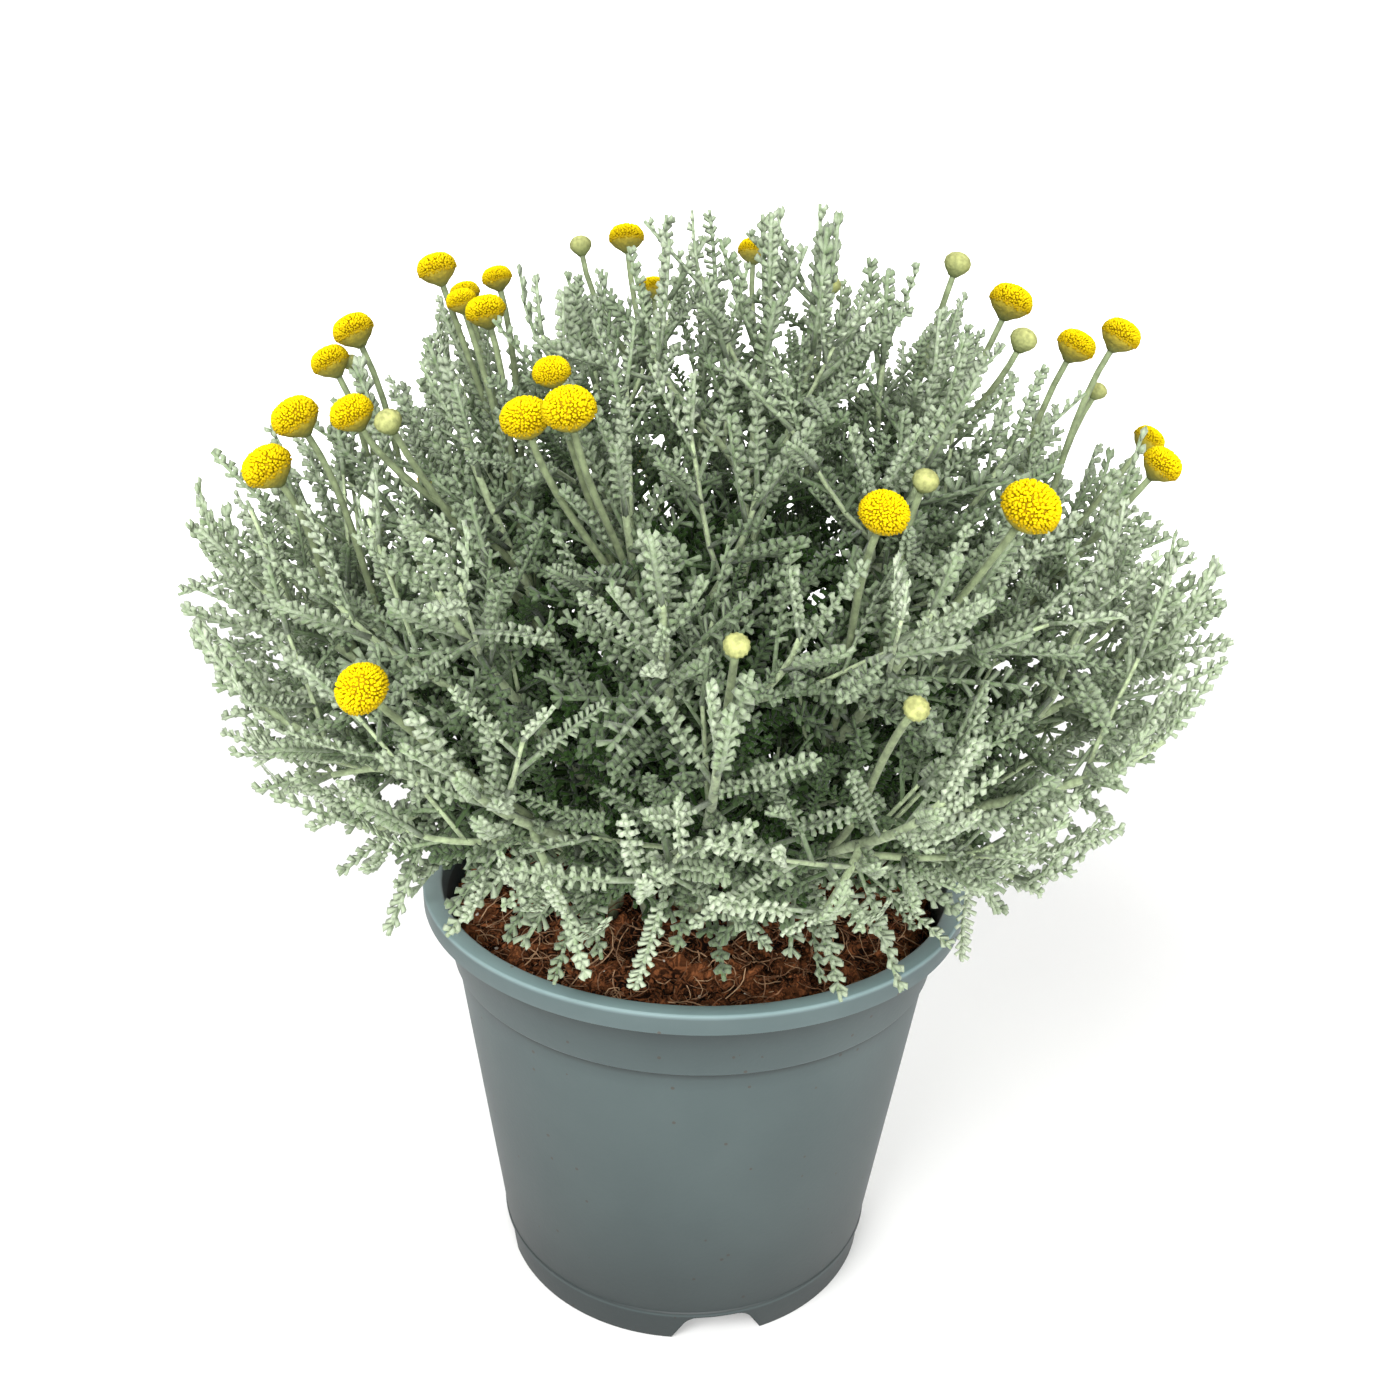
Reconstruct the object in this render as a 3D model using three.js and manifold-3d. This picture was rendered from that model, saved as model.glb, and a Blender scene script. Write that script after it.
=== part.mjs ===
// Cotton lavender (Santolina) in a moulded nursery pot.
// Millimetres, +Z up, the pot's axis on Z, the pot's foot on z = 0, the front of the plant towards -Y.
import * as THREE from 'three';
import { mergeVertices } from 'three/addons/utils/BufferGeometryUtils.js';
import Module from 'manifold-3d';

const wasm = await Module();
wasm.setup();

// Pot sizes
const POT_HEIGHT = 110;
const LIP_RADIUS = 70;
const LIP_HEIGHT = 5.2;
const LIP_INNER_RADIUS = 65.3;
const COLLAR_TOP_RADIUS = 65.6;
const COLLAR_BOTTOM_RADIUS = 62.9;
const COLLAR_HEIGHT = 15.2;
const COLLAR_STEP = 0.9;
const WALL = 1.6;
const BASE_RADIUS = 50.8;
const FOOT_HEIGHT = 8.4;
const FOOT_RING_WIDTH = 4.2;
const FLOOR_THICKNESS = 2;
const POT_SEGMENTS = 28;
const NOTCH_COUNT = 4;
const NOTCH_FIRST_ANGLE = -79;
const NOTCH_BOTTOM_WIDTH = 23;
const NOTCH_TOP_WIDTH = 15;
const NOTCH_HEIGHT = 7;
const DRAIN_RADIUS = 4;
const DRAIN_CIRCLE = 37;

// Soil sizes
const SOIL_LEVEL = 103;
const SOIL_SEGMENTS = 20;
const SOIL_CLEARANCE = 0.65;

// Stem sizes
// Each shoot swells where small leaves crowd on it: its radius at each step from its start to its tip
const STEM_ROOT_RADIUS = 2;
const MAIN_RADII = [2, 2, 2.8, 4, 3.7, 1.4];
const SIDE_RADII = [0.6, 2.8, 3.3, 1.3];
const MAIN_STEPS = MAIN_RADII.length - 1;
const SIDE_STEPS = SIDE_RADII.length - 1;
const STALK_RADIUS = 0.8;
const STEM_DEPTH = 9;
const STEM_STRAIGHT = 3;
const SEAT_GAP = 0.32;
const NODE_GAP = 0.4;

// Leaf sizes: a comb of lobes on a rib
const LEAF_LOBES = 3;
const RIB_HALF_WIDTH = 0.75;
const RIB_HEIGHT = 1.25;
const LEAF_HALF_WIDTH = 3.2;
const LEAF_PITCH = 4.6;
const GOLDEN_ANGLE = 137.508;

// Leans and reaches are read from this point at the soil's middle
const CROWN = new THREE.Vector3(0, 0, 105);

// The dome of foliage: how far leaves reach from the crown, at each lean from upright
const DOME = [
  [0, 172], [11, 176], [16, 168], [25, 164], [33, 160], [40, 158], [47, 164], [54, 158], [60, 142], [66, 127],
  [72, 115], [80, 102], [90, 90], [180, 90],
];
const RIM_CLEARANCE = 2.6;
const HEAD_CLEARANCE = 1.8;
const CLEAR_ABOVE_HEAD = 16;

// Each leafy stem: the tip of its main shoot, its side shoots, its open heads and its closed buds.
// A tip is [azimuth, lean from upright, reach from the crown]; a head or bud adds its diameter.
// Azimuth 270 faces the front, 180 the left, 0 the right.
const STEMS = [
  // upright stems in the middle
  { tip: [296, 10, 158], sides: [[312, 13, 157], [250, 14, 146]], heads: [], buds: [] },
  { tip: [95, 11, 136], sides: [[130, 22, 136]], heads: [[119, 16, 165, 9], [105, 23, 158, 8]], buds: [[131, 18, 165, 5.5]] },
  { tip: [205, 12, 142], sides: [[150, 14, 137], [232, 20, 142]], heads: [], buds: [] },
  // upper ring
  { tip: [4, 22, 141], sides: [[25, 30, 137], [345, 16, 146]], heads: [[357, 24, 163, 10]], buds: [[358, 19, 166, 6], [350, 26, 158, 6]] },
  { tip: [52, 22, 146], sides: [[75, 34, 136]], heads: [[79, 19, 165, 8.5]], buds: [[53, 18, 157, 6]] },
  { tip: [165, 25, 140], sides: [[145, 33, 136]], heads: [[183, 22, 164, 9], [178, 18, 158, 7], [163, 23, 158, 7.5]], buds: [] },
  { tip: [214, 27, 136], sides: [[190, 33, 136]], heads: [[187, 21, 156, 7], [197, 19.5, 153, 9], [215, 34, 153, 9]], buds: [[221, 33, 151, 5.5]] },
  { tip: [254, 27, 134], sides: [[280, 26, 130]], heads: [[242, 25, 151, 7.5], [245, 31, 152, 9.5], [252, 31, 155, 10]], buds: [] },
  { tip: [320, 26, 142], sides: [[340, 30, 139], [300, 30, 134]], heads: [], buds: [] },
  // middle ring
  { tip: [352, 42, 140], sides: [[8, 44, 138]], heads: [[354, 30, 162, 9], [351, 32, 169, 9], [334, 40, 158, 8.5], [5, 42, 158, 8]], buds: [[3, 35, 158, 4.5]] },
  { tip: [30, 44, 140], sides: [[14, 52, 134]], heads: [[34, 52, 148, 8.5]], buds: [] },
  { tip: [88, 42, 138], sides: [[70, 48, 130]], heads: [[100, 52, 146, 9]], buds: [] },
  { tip: [140, 44, 140], sides: [[120, 46, 134]], heads: [[134, 54, 148, 8]], buds: [] },
  { tip: [182, 44, 137], sides: [[172, 54, 130]], heads: [[185, 30, 160, 9.5], [185, 33, 157, 9]], buds: [[182, 32, 155, 4]] },
  { tip: [205, 48, 150], sides: [[196, 44, 138]], heads: [[210, 37, 157, 10], [211, 41, 154, 10.5]], buds: [] },
  { tip: [236, 42, 134], sides: [[222, 46, 134]], heads: [], buds: [] },
  { tip: [265, 40, 132], sides: [[282, 42, 128]], heads: [], buds: [] },
  { tip: [298, 42, 134], sides: [[310, 40, 134]], heads: [[288, 39, 154, 9], [303, 40.5, 158, 11]], buds: [[299, 34, 147, 5]] },
  { tip: [333, 51, 143], sides: [[340, 48, 134], [320, 46, 138]], heads: [], buds: [] },
  // lower ring
  { tip: [322, 58, 136], sides: [[319, 69, 102]], heads: [], buds: [] },
  { tip: [0, 60, 126], sides: [[350, 64, 112]], heads: [], buds: [] },
  { tip: [48, 60, 124], sides: [[30, 64, 114]], heads: [[54, 62, 146, 8.5]], buds: [] },
  { tip: [98, 60, 120], sides: [[76, 66, 110]], heads: [], buds: [] },
  { tip: [148, 60, 122], sides: [[124, 66, 110]], heads: [], buds: [] },
  { tip: [198, 58, 124], sides: [[172, 62, 116]], heads: [], buds: [] },
  { tip: [214, 57, 130], sides: [[221, 65, 104], [206, 64, 108]], heads: [], buds: [] },
  { tip: [246, 56, 128], sides: [[234, 62, 110], [256, 66, 108]], heads: [[242, 53, 150, 9.5]], buds: [] },
  { tip: [272, 52, 130], sides: [[264, 62, 112]], heads: [], buds: [[273, 47, 148, 5.5]] },
  { tip: [294, 57, 128], sides: [[306, 62, 112], [284, 66, 108]], heads: [], buds: [[288, 51.5, 147, 5.5]] },
];

// Repeatable scatter in -1..1, from the number of the piece and of the draw
function scatter(piece, draw) {
  const value = Math.sin(piece * 12.9898 + draw * 78.233) * 43758.5453;
  return 2 * (value - Math.floor(value)) - 1;
}

function towards(azimuth, lean) {
  const a = THREE.MathUtils.degToRad(azimuth);
  const l = THREE.MathUtils.degToRad(lean);
  return new THREE.Vector3(Math.cos(a) * Math.sin(l), Math.sin(a) * Math.sin(l), Math.cos(l));
}

function place([azimuth, lean, reach]) {
  return CROWN.clone().addScaledVector(towards(azimuth, lean), reach);
}

// A closed body for joining and cutting, from a three.js geometry or from points and faces
function solid(geometry) {
  const welded = geometry.clone();
  welded.deleteAttribute('normal');
  welded.deleteAttribute('uv');
  const whole = mergeVertices(welded, 1e-4);
  const corners = whole.index.array;
  const faces = [];
  for (let i = 0; i < corners.length; i += 3) {
    const [a, b, c] = [corners[i], corners[i + 1], corners[i + 2]];
    if (a !== b && b !== c && c !== a) faces.push(a, b, c);
  }
  return new wasm.Manifold(new wasm.Mesh({
    numProp: 3,
    vertProperties: new Float32Array(whole.attributes.position.array),
    triVerts: new Uint32Array(faces),
  }));
}

function facets(points, faces) {
  const geometry = new THREE.BufferGeometry();
  geometry.setAttribute('position', new THREE.Float32BufferAttribute(points.flatMap((p) => [p.x, p.y, p.z]), 3));
  geometry.setIndex(faces.flat());
  return geometry;
}

function geometryOf(body) {
  const mesh = body.getMesh();
  const geometry = new THREE.BufferGeometry();
  geometry.setAttribute('position', new THREE.BufferAttribute(new Float32Array(mesh.vertProperties), 3));
  geometry.setIndex(new THREE.BufferAttribute(new Uint32Array(mesh.triVerts), 1));
  geometry.computeVertexNormals();
  return geometry;
}

function named(name, body, material) {
  const mesh = new THREE.Mesh(geometryOf(body), material);
  mesh.name = name;
  return mesh;
}

// Closed sweep of an n-sided section along points, with its own radius at each point
function sweep(points, radii, sides, across) {
  const rings = [];
  points.forEach((point, i) => {
    const before = points[Math.max(i - 1, 0)];
    const after = points[Math.min(i + 1, points.length - 1)];
    const along = after.clone().sub(before).normalize();
    const side = across.clone().addScaledVector(along, -across.dot(along)).normalize();
    const up = side.clone().cross(along);
    for (let k = 0; k < sides; k += 1) {
      const turn = ((k + 0.5) / sides) * 2 * Math.PI;
      rings.push(point.clone()
        .addScaledVector(side, radii[i] * Math.cos(turn))
        .addScaledVector(up, -radii[i] * Math.sin(turn)));
    }
  });
  const faces = [];
  const last = (points.length - 1) * sides;
  for (let i = 0; i < points.length - 1; i += 1) {
    for (let k = 0; k < sides; k += 1) {
      const a = i * sides + k;
      const b = i * sides + ((k + 1) % sides);
      faces.push([a, b, b + sides], [a, b + sides, a + sides]);
    }
  }
  for (let k = 1; k < sides - 1; k += 1) {
    faces.push([0, k + 1, k], [last, last + k, last + k + 1]);
  }
  return facets(rings, faces);
}

// Soil surface height by a formula: low lumps, a little lower at the wall
function soilHeight(x, y) {
  const r = Math.hypot(x, y);
  const lumps = 1.1 * Math.sin(x * 0.16 + 1.3) * Math.cos(y * 0.19 - 0.4) + 0.7 * Math.sin(x * 0.31 - y * 0.27);
  return SOIL_LEVEL + lumps - 1.5 * Math.max(0, (r - 40) / 22);
}

// Pot: one moulding, turned on its axis, with notches through the foot ring and drain holes in the floor
const wallTop = POT_HEIGHT - LIP_HEIGHT;
const collarBottom = wallTop - COLLAR_HEIGHT;
const bodyTopRadius = COLLAR_BOTTOM_RADIUS - COLLAR_STEP;
const potProfile = [
  [0, FOOT_HEIGHT],
  [BASE_RADIUS - FOOT_RING_WIDTH - 1, FOOT_HEIGHT],
  [BASE_RADIUS - FOOT_RING_WIDTH, 0],
  [BASE_RADIUS - 1, 0],
  [BASE_RADIUS - 0.5, FOOT_HEIGHT - 0.6],
  [BASE_RADIUS + 0.2, FOOT_HEIGHT],
  [bodyTopRadius, collarBottom - 0.6],
  [COLLAR_BOTTOM_RADIUS, collarBottom],
  [COLLAR_TOP_RADIUS, wallTop + 0.5],
  [LIP_RADIUS - 0.1, wallTop],
  [LIP_RADIUS, POT_HEIGHT - 0.6],
  [LIP_RADIUS - 0.6, POT_HEIGHT],
  [LIP_INNER_RADIUS, POT_HEIGHT - 0.4],
  [COLLAR_TOP_RADIUS - WALL, wallTop - 1],
  [bodyTopRadius - WALL, collarBottom - 1],
  [BASE_RADIUS + 0.4 - WALL, FOOT_HEIGHT + FLOOR_THICKNESS],
  [0, FOOT_HEIGHT + FLOOR_THICKNESS],
].map(([r, z]) => new THREE.Vector2(r, z));
const potTurned = new THREE.LatheGeometry(potProfile, POT_SEGMENTS);
potTurned.rotateX(Math.PI / 2);
let pot = solid(potTurned);
const notchOutline = new THREE.Shape([
  new THREE.Vector2(-NOTCH_BOTTOM_WIDTH / 2 - 0.6, -0.6),
  new THREE.Vector2(NOTCH_BOTTOM_WIDTH / 2 + 0.6, -0.6),
  new THREE.Vector2(NOTCH_TOP_WIDTH / 2, NOTCH_HEIGHT),
  new THREE.Vector2(-NOTCH_TOP_WIDTH / 2, NOTCH_HEIGHT),
]);
for (let i = 0; i < NOTCH_COUNT; i += 1) {
  const angle = THREE.MathUtils.degToRad(NOTCH_FIRST_ANGLE + (i * 360) / NOTCH_COUNT);
  const notch = new THREE.ExtrudeGeometry(notchOutline, { depth: 16, bevelEnabled: false });
  notch.rotateX(Math.PI / 2);
  notch.translate(0, -BASE_RADIUS + 8, 0);
  notch.rotateZ(angle + Math.PI / 2);
  const drain = new THREE.CylinderGeometry(DRAIN_RADIUS, DRAIN_RADIUS, 8, 8);
  drain.rotateX(Math.PI / 2);
  drain.translate(DRAIN_CIRCLE * Math.cos(angle + 0.6), DRAIN_CIRCLE * Math.sin(angle + 0.6), FOOT_HEIGHT + 1);
  pot = pot.subtract(solid(notch)).subtract(solid(drain));
}

// Soil: fills the pot, its top raised by the formula
const soilWall = (z) => THREE.MathUtils.mapLinear(z, FOOT_HEIGHT + FLOOR_THICKNESS, collarBottom - 1,
  BASE_RADIUS + 0.4 - WALL, bodyTopRadius - WALL) - SOIL_CLEARANCE;
const soilEdge = COLLAR_TOP_RADIUS - WALL - 1.7;
const soilBottom = FOOT_HEIGHT + FLOOR_THICKNESS + SEAT_GAP;
const soilProfile = [
  [0, soilBottom],
  [soilWall(soilBottom), soilBottom],
  [soilWall(collarBottom - 1), collarBottom - 1],
  [soilEdge, SOIL_LEVEL - 1.5],
  [52, SOIL_LEVEL], [38, SOIL_LEVEL], [24, SOIL_LEVEL], [10, SOIL_LEVEL], [0, SOIL_LEVEL],
].map(([r, z]) => new THREE.Vector2(r, z));
const soilTurned = new THREE.LatheGeometry(soilProfile, SOIL_SEGMENTS);
soilTurned.rotateX(Math.PI / 2);
const soilPoints = soilTurned.attributes.position;
for (let i = 0; i < soilPoints.count; i += 1) {
  if (soilPoints.getZ(i) > SOIL_LEVEL - 2) {
    soilPoints.setZ(i, soilHeight(soilPoints.getX(i), soilPoints.getY(i)));
  }
}
let soil = solid(soilTurned);

// Shoots: a main shoot rises from its hole and leans out; a side shoot leaves its parent along it
function mainCurve([azimuth, lean, reach]) {
  const out = towards(azimuth, 90);
  const root = out.clone().multiplyScalar(4 + 0.37 * lean);
  root.z = soilHeight(root.x, root.y) + STEM_STRAIGHT;
  const tip = place([azimuth, lean, reach]);
  const span = tip.distanceTo(root);
  const rise = new THREE.Vector3(0, 0, 1).addScaledVector(out, lean / 110).normalize();
  return new THREE.CubicBezierCurve3(root, root.clone().addScaledVector(rise, 0.38 * span),
    tip.clone().addScaledVector(towards(azimuth, 0.72 * lean), -0.32 * span), tip);
}

// A point on the straight lengths that a swept shoot is made of
function onShoot(curve, at, steps) {
  const i = Math.min(Math.floor(at * steps), steps - 1);
  return curve.getPoint(i / steps).lerp(curve.getPoint((i + 1) / steps), at * steps - i);
}

function branchCurve(parent, from, target, finish) {
  const start = onShoot(parent, from, MAIN_STEPS);
  const span = target.distanceTo(start);
  const leave = parent.getTangent(from).addScaledVector(target.clone().sub(start).normalize(), 0.9).normalize();
  return new THREE.CubicBezierCurve3(start, start.clone().addScaledVector(leave, 0.34 * span),
    target.clone().addScaledVector(finish, -0.32 * span), target);
}

function sideShoot(curve, azimuth) {
  const points = [];
  for (let i = 0; i <= SIDE_STEPS; i += 1) points.push(curve.getPoint(i / SIDE_STEPS));
  return sweep(points, SIDE_RADII, 3, towards(azimuth + 90, 90));
}

// The centre, axis and diameter of every head and bud
const flowers = STEMS.flatMap(({ heads: open, buds }) => [...open, ...buds]).map(([azimuth, lean, reach, diameter]) => (
  { centre: place([azimuth, lean, reach]), axis: towards(azimuth, 0.85 * lean), diameter }));

// Leaf: a rib of three-cornered section with a row of lobes on each side, its root and its tip run to a point
function leafSolid(root, along, bend, length, faceUp) {
  const centre = (s) => root.clone().addScaledVector(along, length * s).addScaledVector(bend, length * s * s);
  const points = [root];
  const faces = [[1, 3, 0], [3, 2, 0], [2, 1, 0]];
  const [LEFT, RIGHT, RIDGE, LEFT_LOBE, RIGHT_LOBE] = [1, 2, 3, 4, 5];
  for (let i = 0; i <= LEAF_LOBES; i += 1) {
    const s = 0.14 + (0.74 * i) / LEAF_LOBES;
    const direction = along.clone().addScaledVector(bend, 2 * s).normalize();
    const side = faceUp.clone().cross(direction).normalize();
    const up = direction.clone().cross(side);
    const slim = 1 - 0.35 * s;
    const mid = centre(s);
    points.push(mid.clone().addScaledVector(side, -RIB_HALF_WIDTH * slim),
      mid.clone().addScaledVector(side, RIB_HALF_WIDTH * slim),
      mid.clone().addScaledVector(up, RIB_HEIGHT * slim));
    if (i < LEAF_LOBES) {
      const reach = LEAF_HALF_WIDTH * (0.75 + 0.25 * Math.sin((Math.PI * (i + 0.7)) / (LEAF_LOBES + 0.4)));
      const lobe = centre(s + 0.82 / LEAF_LOBES);
      points.push(lobe.clone().addScaledVector(side, -reach).addScaledVector(up, 0.5),
        lobe.clone().addScaledVector(side, reach).addScaledVector(up, 0.5));
      const [a, b] = [5 * i, 5 * i + 5];
      faces.push([a + LEFT, a + RIGHT, b + RIGHT], [a + LEFT, b + RIGHT, b + LEFT],
        [a + LEFT, b + LEFT, a + LEFT_LOBE], [b + LEFT, b + RIDGE, a + LEFT_LOBE],
        [b + RIDGE, a + RIDGE, a + LEFT_LOBE], [a + RIDGE, a + LEFT, a + LEFT_LOBE],
        [a + RIGHT, a + RIGHT_LOBE, b + RIGHT], [b + RIGHT, a + RIGHT_LOBE, b + RIDGE],
        [b + RIDGE, a + RIGHT_LOBE, a + RIDGE], [a + RIDGE, a + RIGHT_LOBE, a + RIGHT]);
    }
  }
  const end = 5 * LEAF_LOBES;
  const tip = points.push(centre(1)) - 1;
  faces.push([end + LEFT, end + RIGHT, tip], [end + RIGHT, end + RIDGE, tip], [end + RIDGE, end + LEFT, tip]);
  return facets(points, faces);
}

// Leaf sites up a shoot, from the tip down, turning by the golden angle: the same rule for every shoot
function leafSites(curve, number, bareBelow, lean) {
  const leafy = curve.getLength() * (1 - bareBelow);
  const count = Math.max(3, Math.round(leafy / LEAF_PITCH));
  const sites = [];
  for (let k = 0; k < count; k += 1) {
    const down = k / (count - 1);
    const at = 0.985 - (0.985 - bareBelow) * down;
    const turn = number * 73 + k * GOLDEN_ANGLE + 9 * scatter(number, k);
    const spread = 14 + (34 + 0.35 * lean) * Math.min(1, down * 1.4) + 6 * scatter(number + 40, k);
    const length = 17 + 13 * Math.min(1, down * 3.2) - 3 * down + 2.5 * scatter(number + 80, k);
    sites.push({ at, down, turn, spread, length });
  }
  return sites;
}

// True where a leaf may be: inside the dome of foliage, off the pot and the soil, and not over a flower
function inPlant(p) {
  const r = Math.hypot(p.x, p.y);
  if (p.z < POT_HEIGHT + RIM_CLEARANCE && (r > 60 || p.z < soilHeight(p.x, p.y) + RIM_CLEARANCE)) return false;
  const fromCrown = p.clone().sub(CROWN);
  const lean = THREE.MathUtils.radToDeg(fromCrown.angleTo(new THREE.Vector3(0, 0, 1)));
  const next = DOME.findIndex(([upTo]) => lean <= upTo);
  const [[low, near], [high, far]] = [DOME[Math.max(next - 1, 0)], DOME[Math.max(next, 1)]];
  if (fromCrown.length() > THREE.MathUtils.mapLinear(lean, low, high, near, far)) return false;
  return flowers.every(({ centre, axis, diameter }) => {
    const off = p.clone().sub(centre);
    const above = off.dot(axis);
    const aside = off.addScaledVector(axis, -above).length();
    return above < -0.4 * diameter || above > CLEAR_ABOVE_HEAD || aside > 0.5 * diameter + HEAD_CLEARANCE;
  });
}

// A leaf bends up, and then is shorter, until all of it is where a leaf may be
const LIFTS = [[0, 1], [0.22, 1], [0.45, 0.92], [0.7, 0.8], [0.9, 0.66], [1, 0.5]];

function leafAt({ curve, azimuth, radii }, site) {
  const along = curve.getTangent(site.at);
  const side = towards(azimuth + 90, 90);
  side.addScaledVector(along, -side.dot(along)).normalize();
  const up = side.clone().cross(along);
  const turn = THREE.MathUtils.degToRad(site.turn);
  const out = side.clone().multiplyScalar(Math.cos(turn)).addScaledVector(up, Math.sin(turn));
  const spread = THREE.MathUtils.degToRad(site.spread);
  const direction = along.clone().multiplyScalar(Math.cos(spread)).addScaledVector(out, Math.sin(spread));
  const bend = along.clone().multiplyScalar(0.16 - 0.1 * site.down).add(new THREE.Vector3(0, 0, -0.24 * site.down));
  const root = onShoot(curve, site.at, radii.length - 1);
  const faceUp = along.clone().addScaledVector(out, -0.35).normalize();
  for (const [lift, shorter] of LIFTS) {
    const sweep = bend.clone().addScaledVector(direction, -0.5 * lift).add(new THREE.Vector3(0, 0, lift));
    const length = site.length * shorter;
    const centre = (s) => root.clone().addScaledVector(direction, length * s).addScaledVector(sweep, length * s * s);
    if ([0.35, 0.6, 0.8, 1].every((s) => inPlant(centre(s)))) {
      return leafSolid(root, direction, sweep, length, faceUp);
    }
  }
  return null;
}

// Flower stalk: bare, widening at its end to a green cup, or to a closed bud, about the flower's axis
const CUP = [[-0.7, 0.32], [-0.34, 0.72], [0, 0.88]];
const BUD = [[-0.9, 0.4], [-0.3, 0.95], [0.25, 1], [0.74, 0.45]];

function stalkSolid(curve, centre, axis, diameter, outline, azimuth) {
  const points = [0, 1 / 3, 2 / 3].map((t) => curve.getPoint(t));
  const radii = [0.5 * STALK_RADIUS, STALK_RADIUS, STALK_RADIUS];
  outline.forEach(([height, radius]) => {
    points.push(centre.clone().addScaledVector(axis, (height * diameter) / 2));
    radii.push((radius * diameter) / 2);
  });
  return sweep(points, radii, 4, towards(azimuth + 90, 90));
}

// Flower head: a domed button of florets, in rings whose points stand out and in by turns
const HEAD_RINGS = [
  { count: 5, height: 0, radius: [0.8, 0.8] },
  { count: 10, height: 0.2, radius: [1.03, 0.94] },
  { count: 10, height: 0.52, radius: [0.76, 0.86] },
  { count: 5, height: 0.72, radius: [0.44, 0.44] },
];

function headSolid(centre, axis, diameter) {
  const points = [];
  const faces = [];
  HEAD_RINGS.forEach(({ count, height, radius }) => {
    for (let k = 0; k < count; k += 1) {
      const turn = (2 * Math.PI * (k + (count === 5 ? 0.25 : 0))) / count;
      const r = (radius[k % 2] * diameter) / 2;
      points.push(new THREE.Vector3(r * Math.cos(turn), r * Math.sin(turn), (height * diameter) / 2 + SEAT_GAP));
    }
  });
  points.push(new THREE.Vector3(0, 0, 0.36 * diameter + SEAT_GAP));
  const [base, waist, crown, top, apex] = [0, 5, 15, 25, 30];
  faces.push([base, base + 2, base + 1], [base, base + 3, base + 2], [base, base + 4, base + 3]);
  for (let k = 0; k < 5; k += 1) {
    const next = (k + 1) % 5;
    const [a, b, c] = [2 * k, (2 * k + 1) % 10, (2 * k + 2) % 10];
    faces.push([base + k, waist + b, waist + a], [base + k, base + next, waist + b], [base + next, waist + c, waist + b]);
    faces.push([top + k, crown + a, crown + b], [top + k, crown + b, top + next], [top + next, crown + b, crown + c]);
    faces.push([top + k, top + next, apex]);
  }
  for (let k = 0; k < 10; k += 1) {
    const next = (k + 1) % 10;
    faces.push([waist + k, waist + next, crown + next], [waist + k, crown + next, crown + k]);
  }
  const dome = facets(points, faces);
  dome.applyQuaternion(new THREE.Quaternion().setFromUnitVectors(new THREE.Vector3(0, 0, 1), axis));
  dome.translate(centre.x, centre.y, centre.z);
  return dome;
}

// Wood of each stem: main shoot, side shoots, flower stalks, cups and buds, and its hole in the soil
const heads = [];
const plants = STEMS.map((stem, number) => {
  const main = mainCurve(stem.tip);
  const azimuth = stem.tip[0];
  const below = main.getPoint(0).clone();
  below.z -= STEM_DEPTH + STEM_STRAIGHT;
  const across = towards(azimuth + 90, 90);
  const foot = main.getPoint(0);
  const pieces = [];
  const points = [below, foot];
  const radii = [STEM_ROOT_RADIUS, STEM_ROOT_RADIUS];
  for (let i = 1; i <= MAIN_STEPS; i += 1) {
    points.push(main.getPoint(i / MAIN_STEPS));
    radii.push(MAIN_RADII[i]);
  }
  pieces.push(solid(sweep(points, radii, 4, across)));
  const shoots = [{ curve: main, azimuth, radii: MAIN_RADII, sites: leafSites(main, number, 0.35, stem.tip[1]) }];
  stem.sides.forEach((side, j) => {
    const curve = branchCurve(main, 0.47 + 0.2 * j, place(side), towards(side[0], 0.72 * side[1]));
    pieces.push(solid(sideShoot(curve, side[0])));
    const sites = leafSites(curve, number + 100 * (j + 1), 0.25, side[1]);
    shoots.push({ curve, azimuth: side[0], radii: SIDE_RADII, sites });
  });
  [...stem.heads, ...stem.buds].forEach((flower, j) => {
    const [faceAzimuth, lean, reach, diameter] = flower;
    const open = j < stem.heads.length;
    const axis = towards(faceAzimuth, 0.85 * lean);
    const centre = place([faceAzimuth, lean, reach]);
    const curve = branchCurve(main, [0.53, 0.66, 0.72, 0.5, 0.68][j], centre.clone().addScaledVector(axis, -0.3 * diameter), axis);
    pieces.push(solid(stalkSolid(curve, centre, axis, diameter, open ? CUP : BUD, faceAzimuth)));
    if (open) heads.push({ body: solid(headSolid(centre, axis, diameter)), number });
  });
  const hole = [below.clone().add(new THREE.Vector3(0, 0, -SEAT_GAP)), foot.clone().add(new THREE.Vector3(0, 0, 6))];
  const wide = STEM_ROOT_RADIUS + 0.5;
  soil = soil.subtract(solid(sweep(hole, [wide, wide], 4, across)));
  return { number, pieces, shoots };
});

// Leaves: the outermost and then every few sites down, turned a little where they would meet another stem
const MAIN_SITES = [0, 2, 5, 9];
const LOW_SITES = [0, 3, 7, 12];
const SIDE_SITES = [0, 3];
const TURNS = [0, 14, -14, 28, -28, 45, -45, 70, -70, 100];
const bodies = plants.map(({ pieces }) => pieces.reduce((whole, piece) => whole.add(piece)));
const leaves = plants.map(() => []);

function clear(leaf, number) {
  if (leaf.minGap(pot, 2) < NODE_GAP || leaf.minGap(soil, 2) < NODE_GAP) return false;
  if (heads.some((head) => leaf.minGap(head.body, 2) < NODE_GAP)) return false;
  if (bodies.some((body, other) => other !== number && leaf.minGap(body, 2) < NODE_GAP)) return false;
  return plants.every((plant, other) => leaves[other].every((placed) => leaf.minGap(placed, 2)
    > (other === number ? 0.1 : NODE_GAP)));
}

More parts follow.
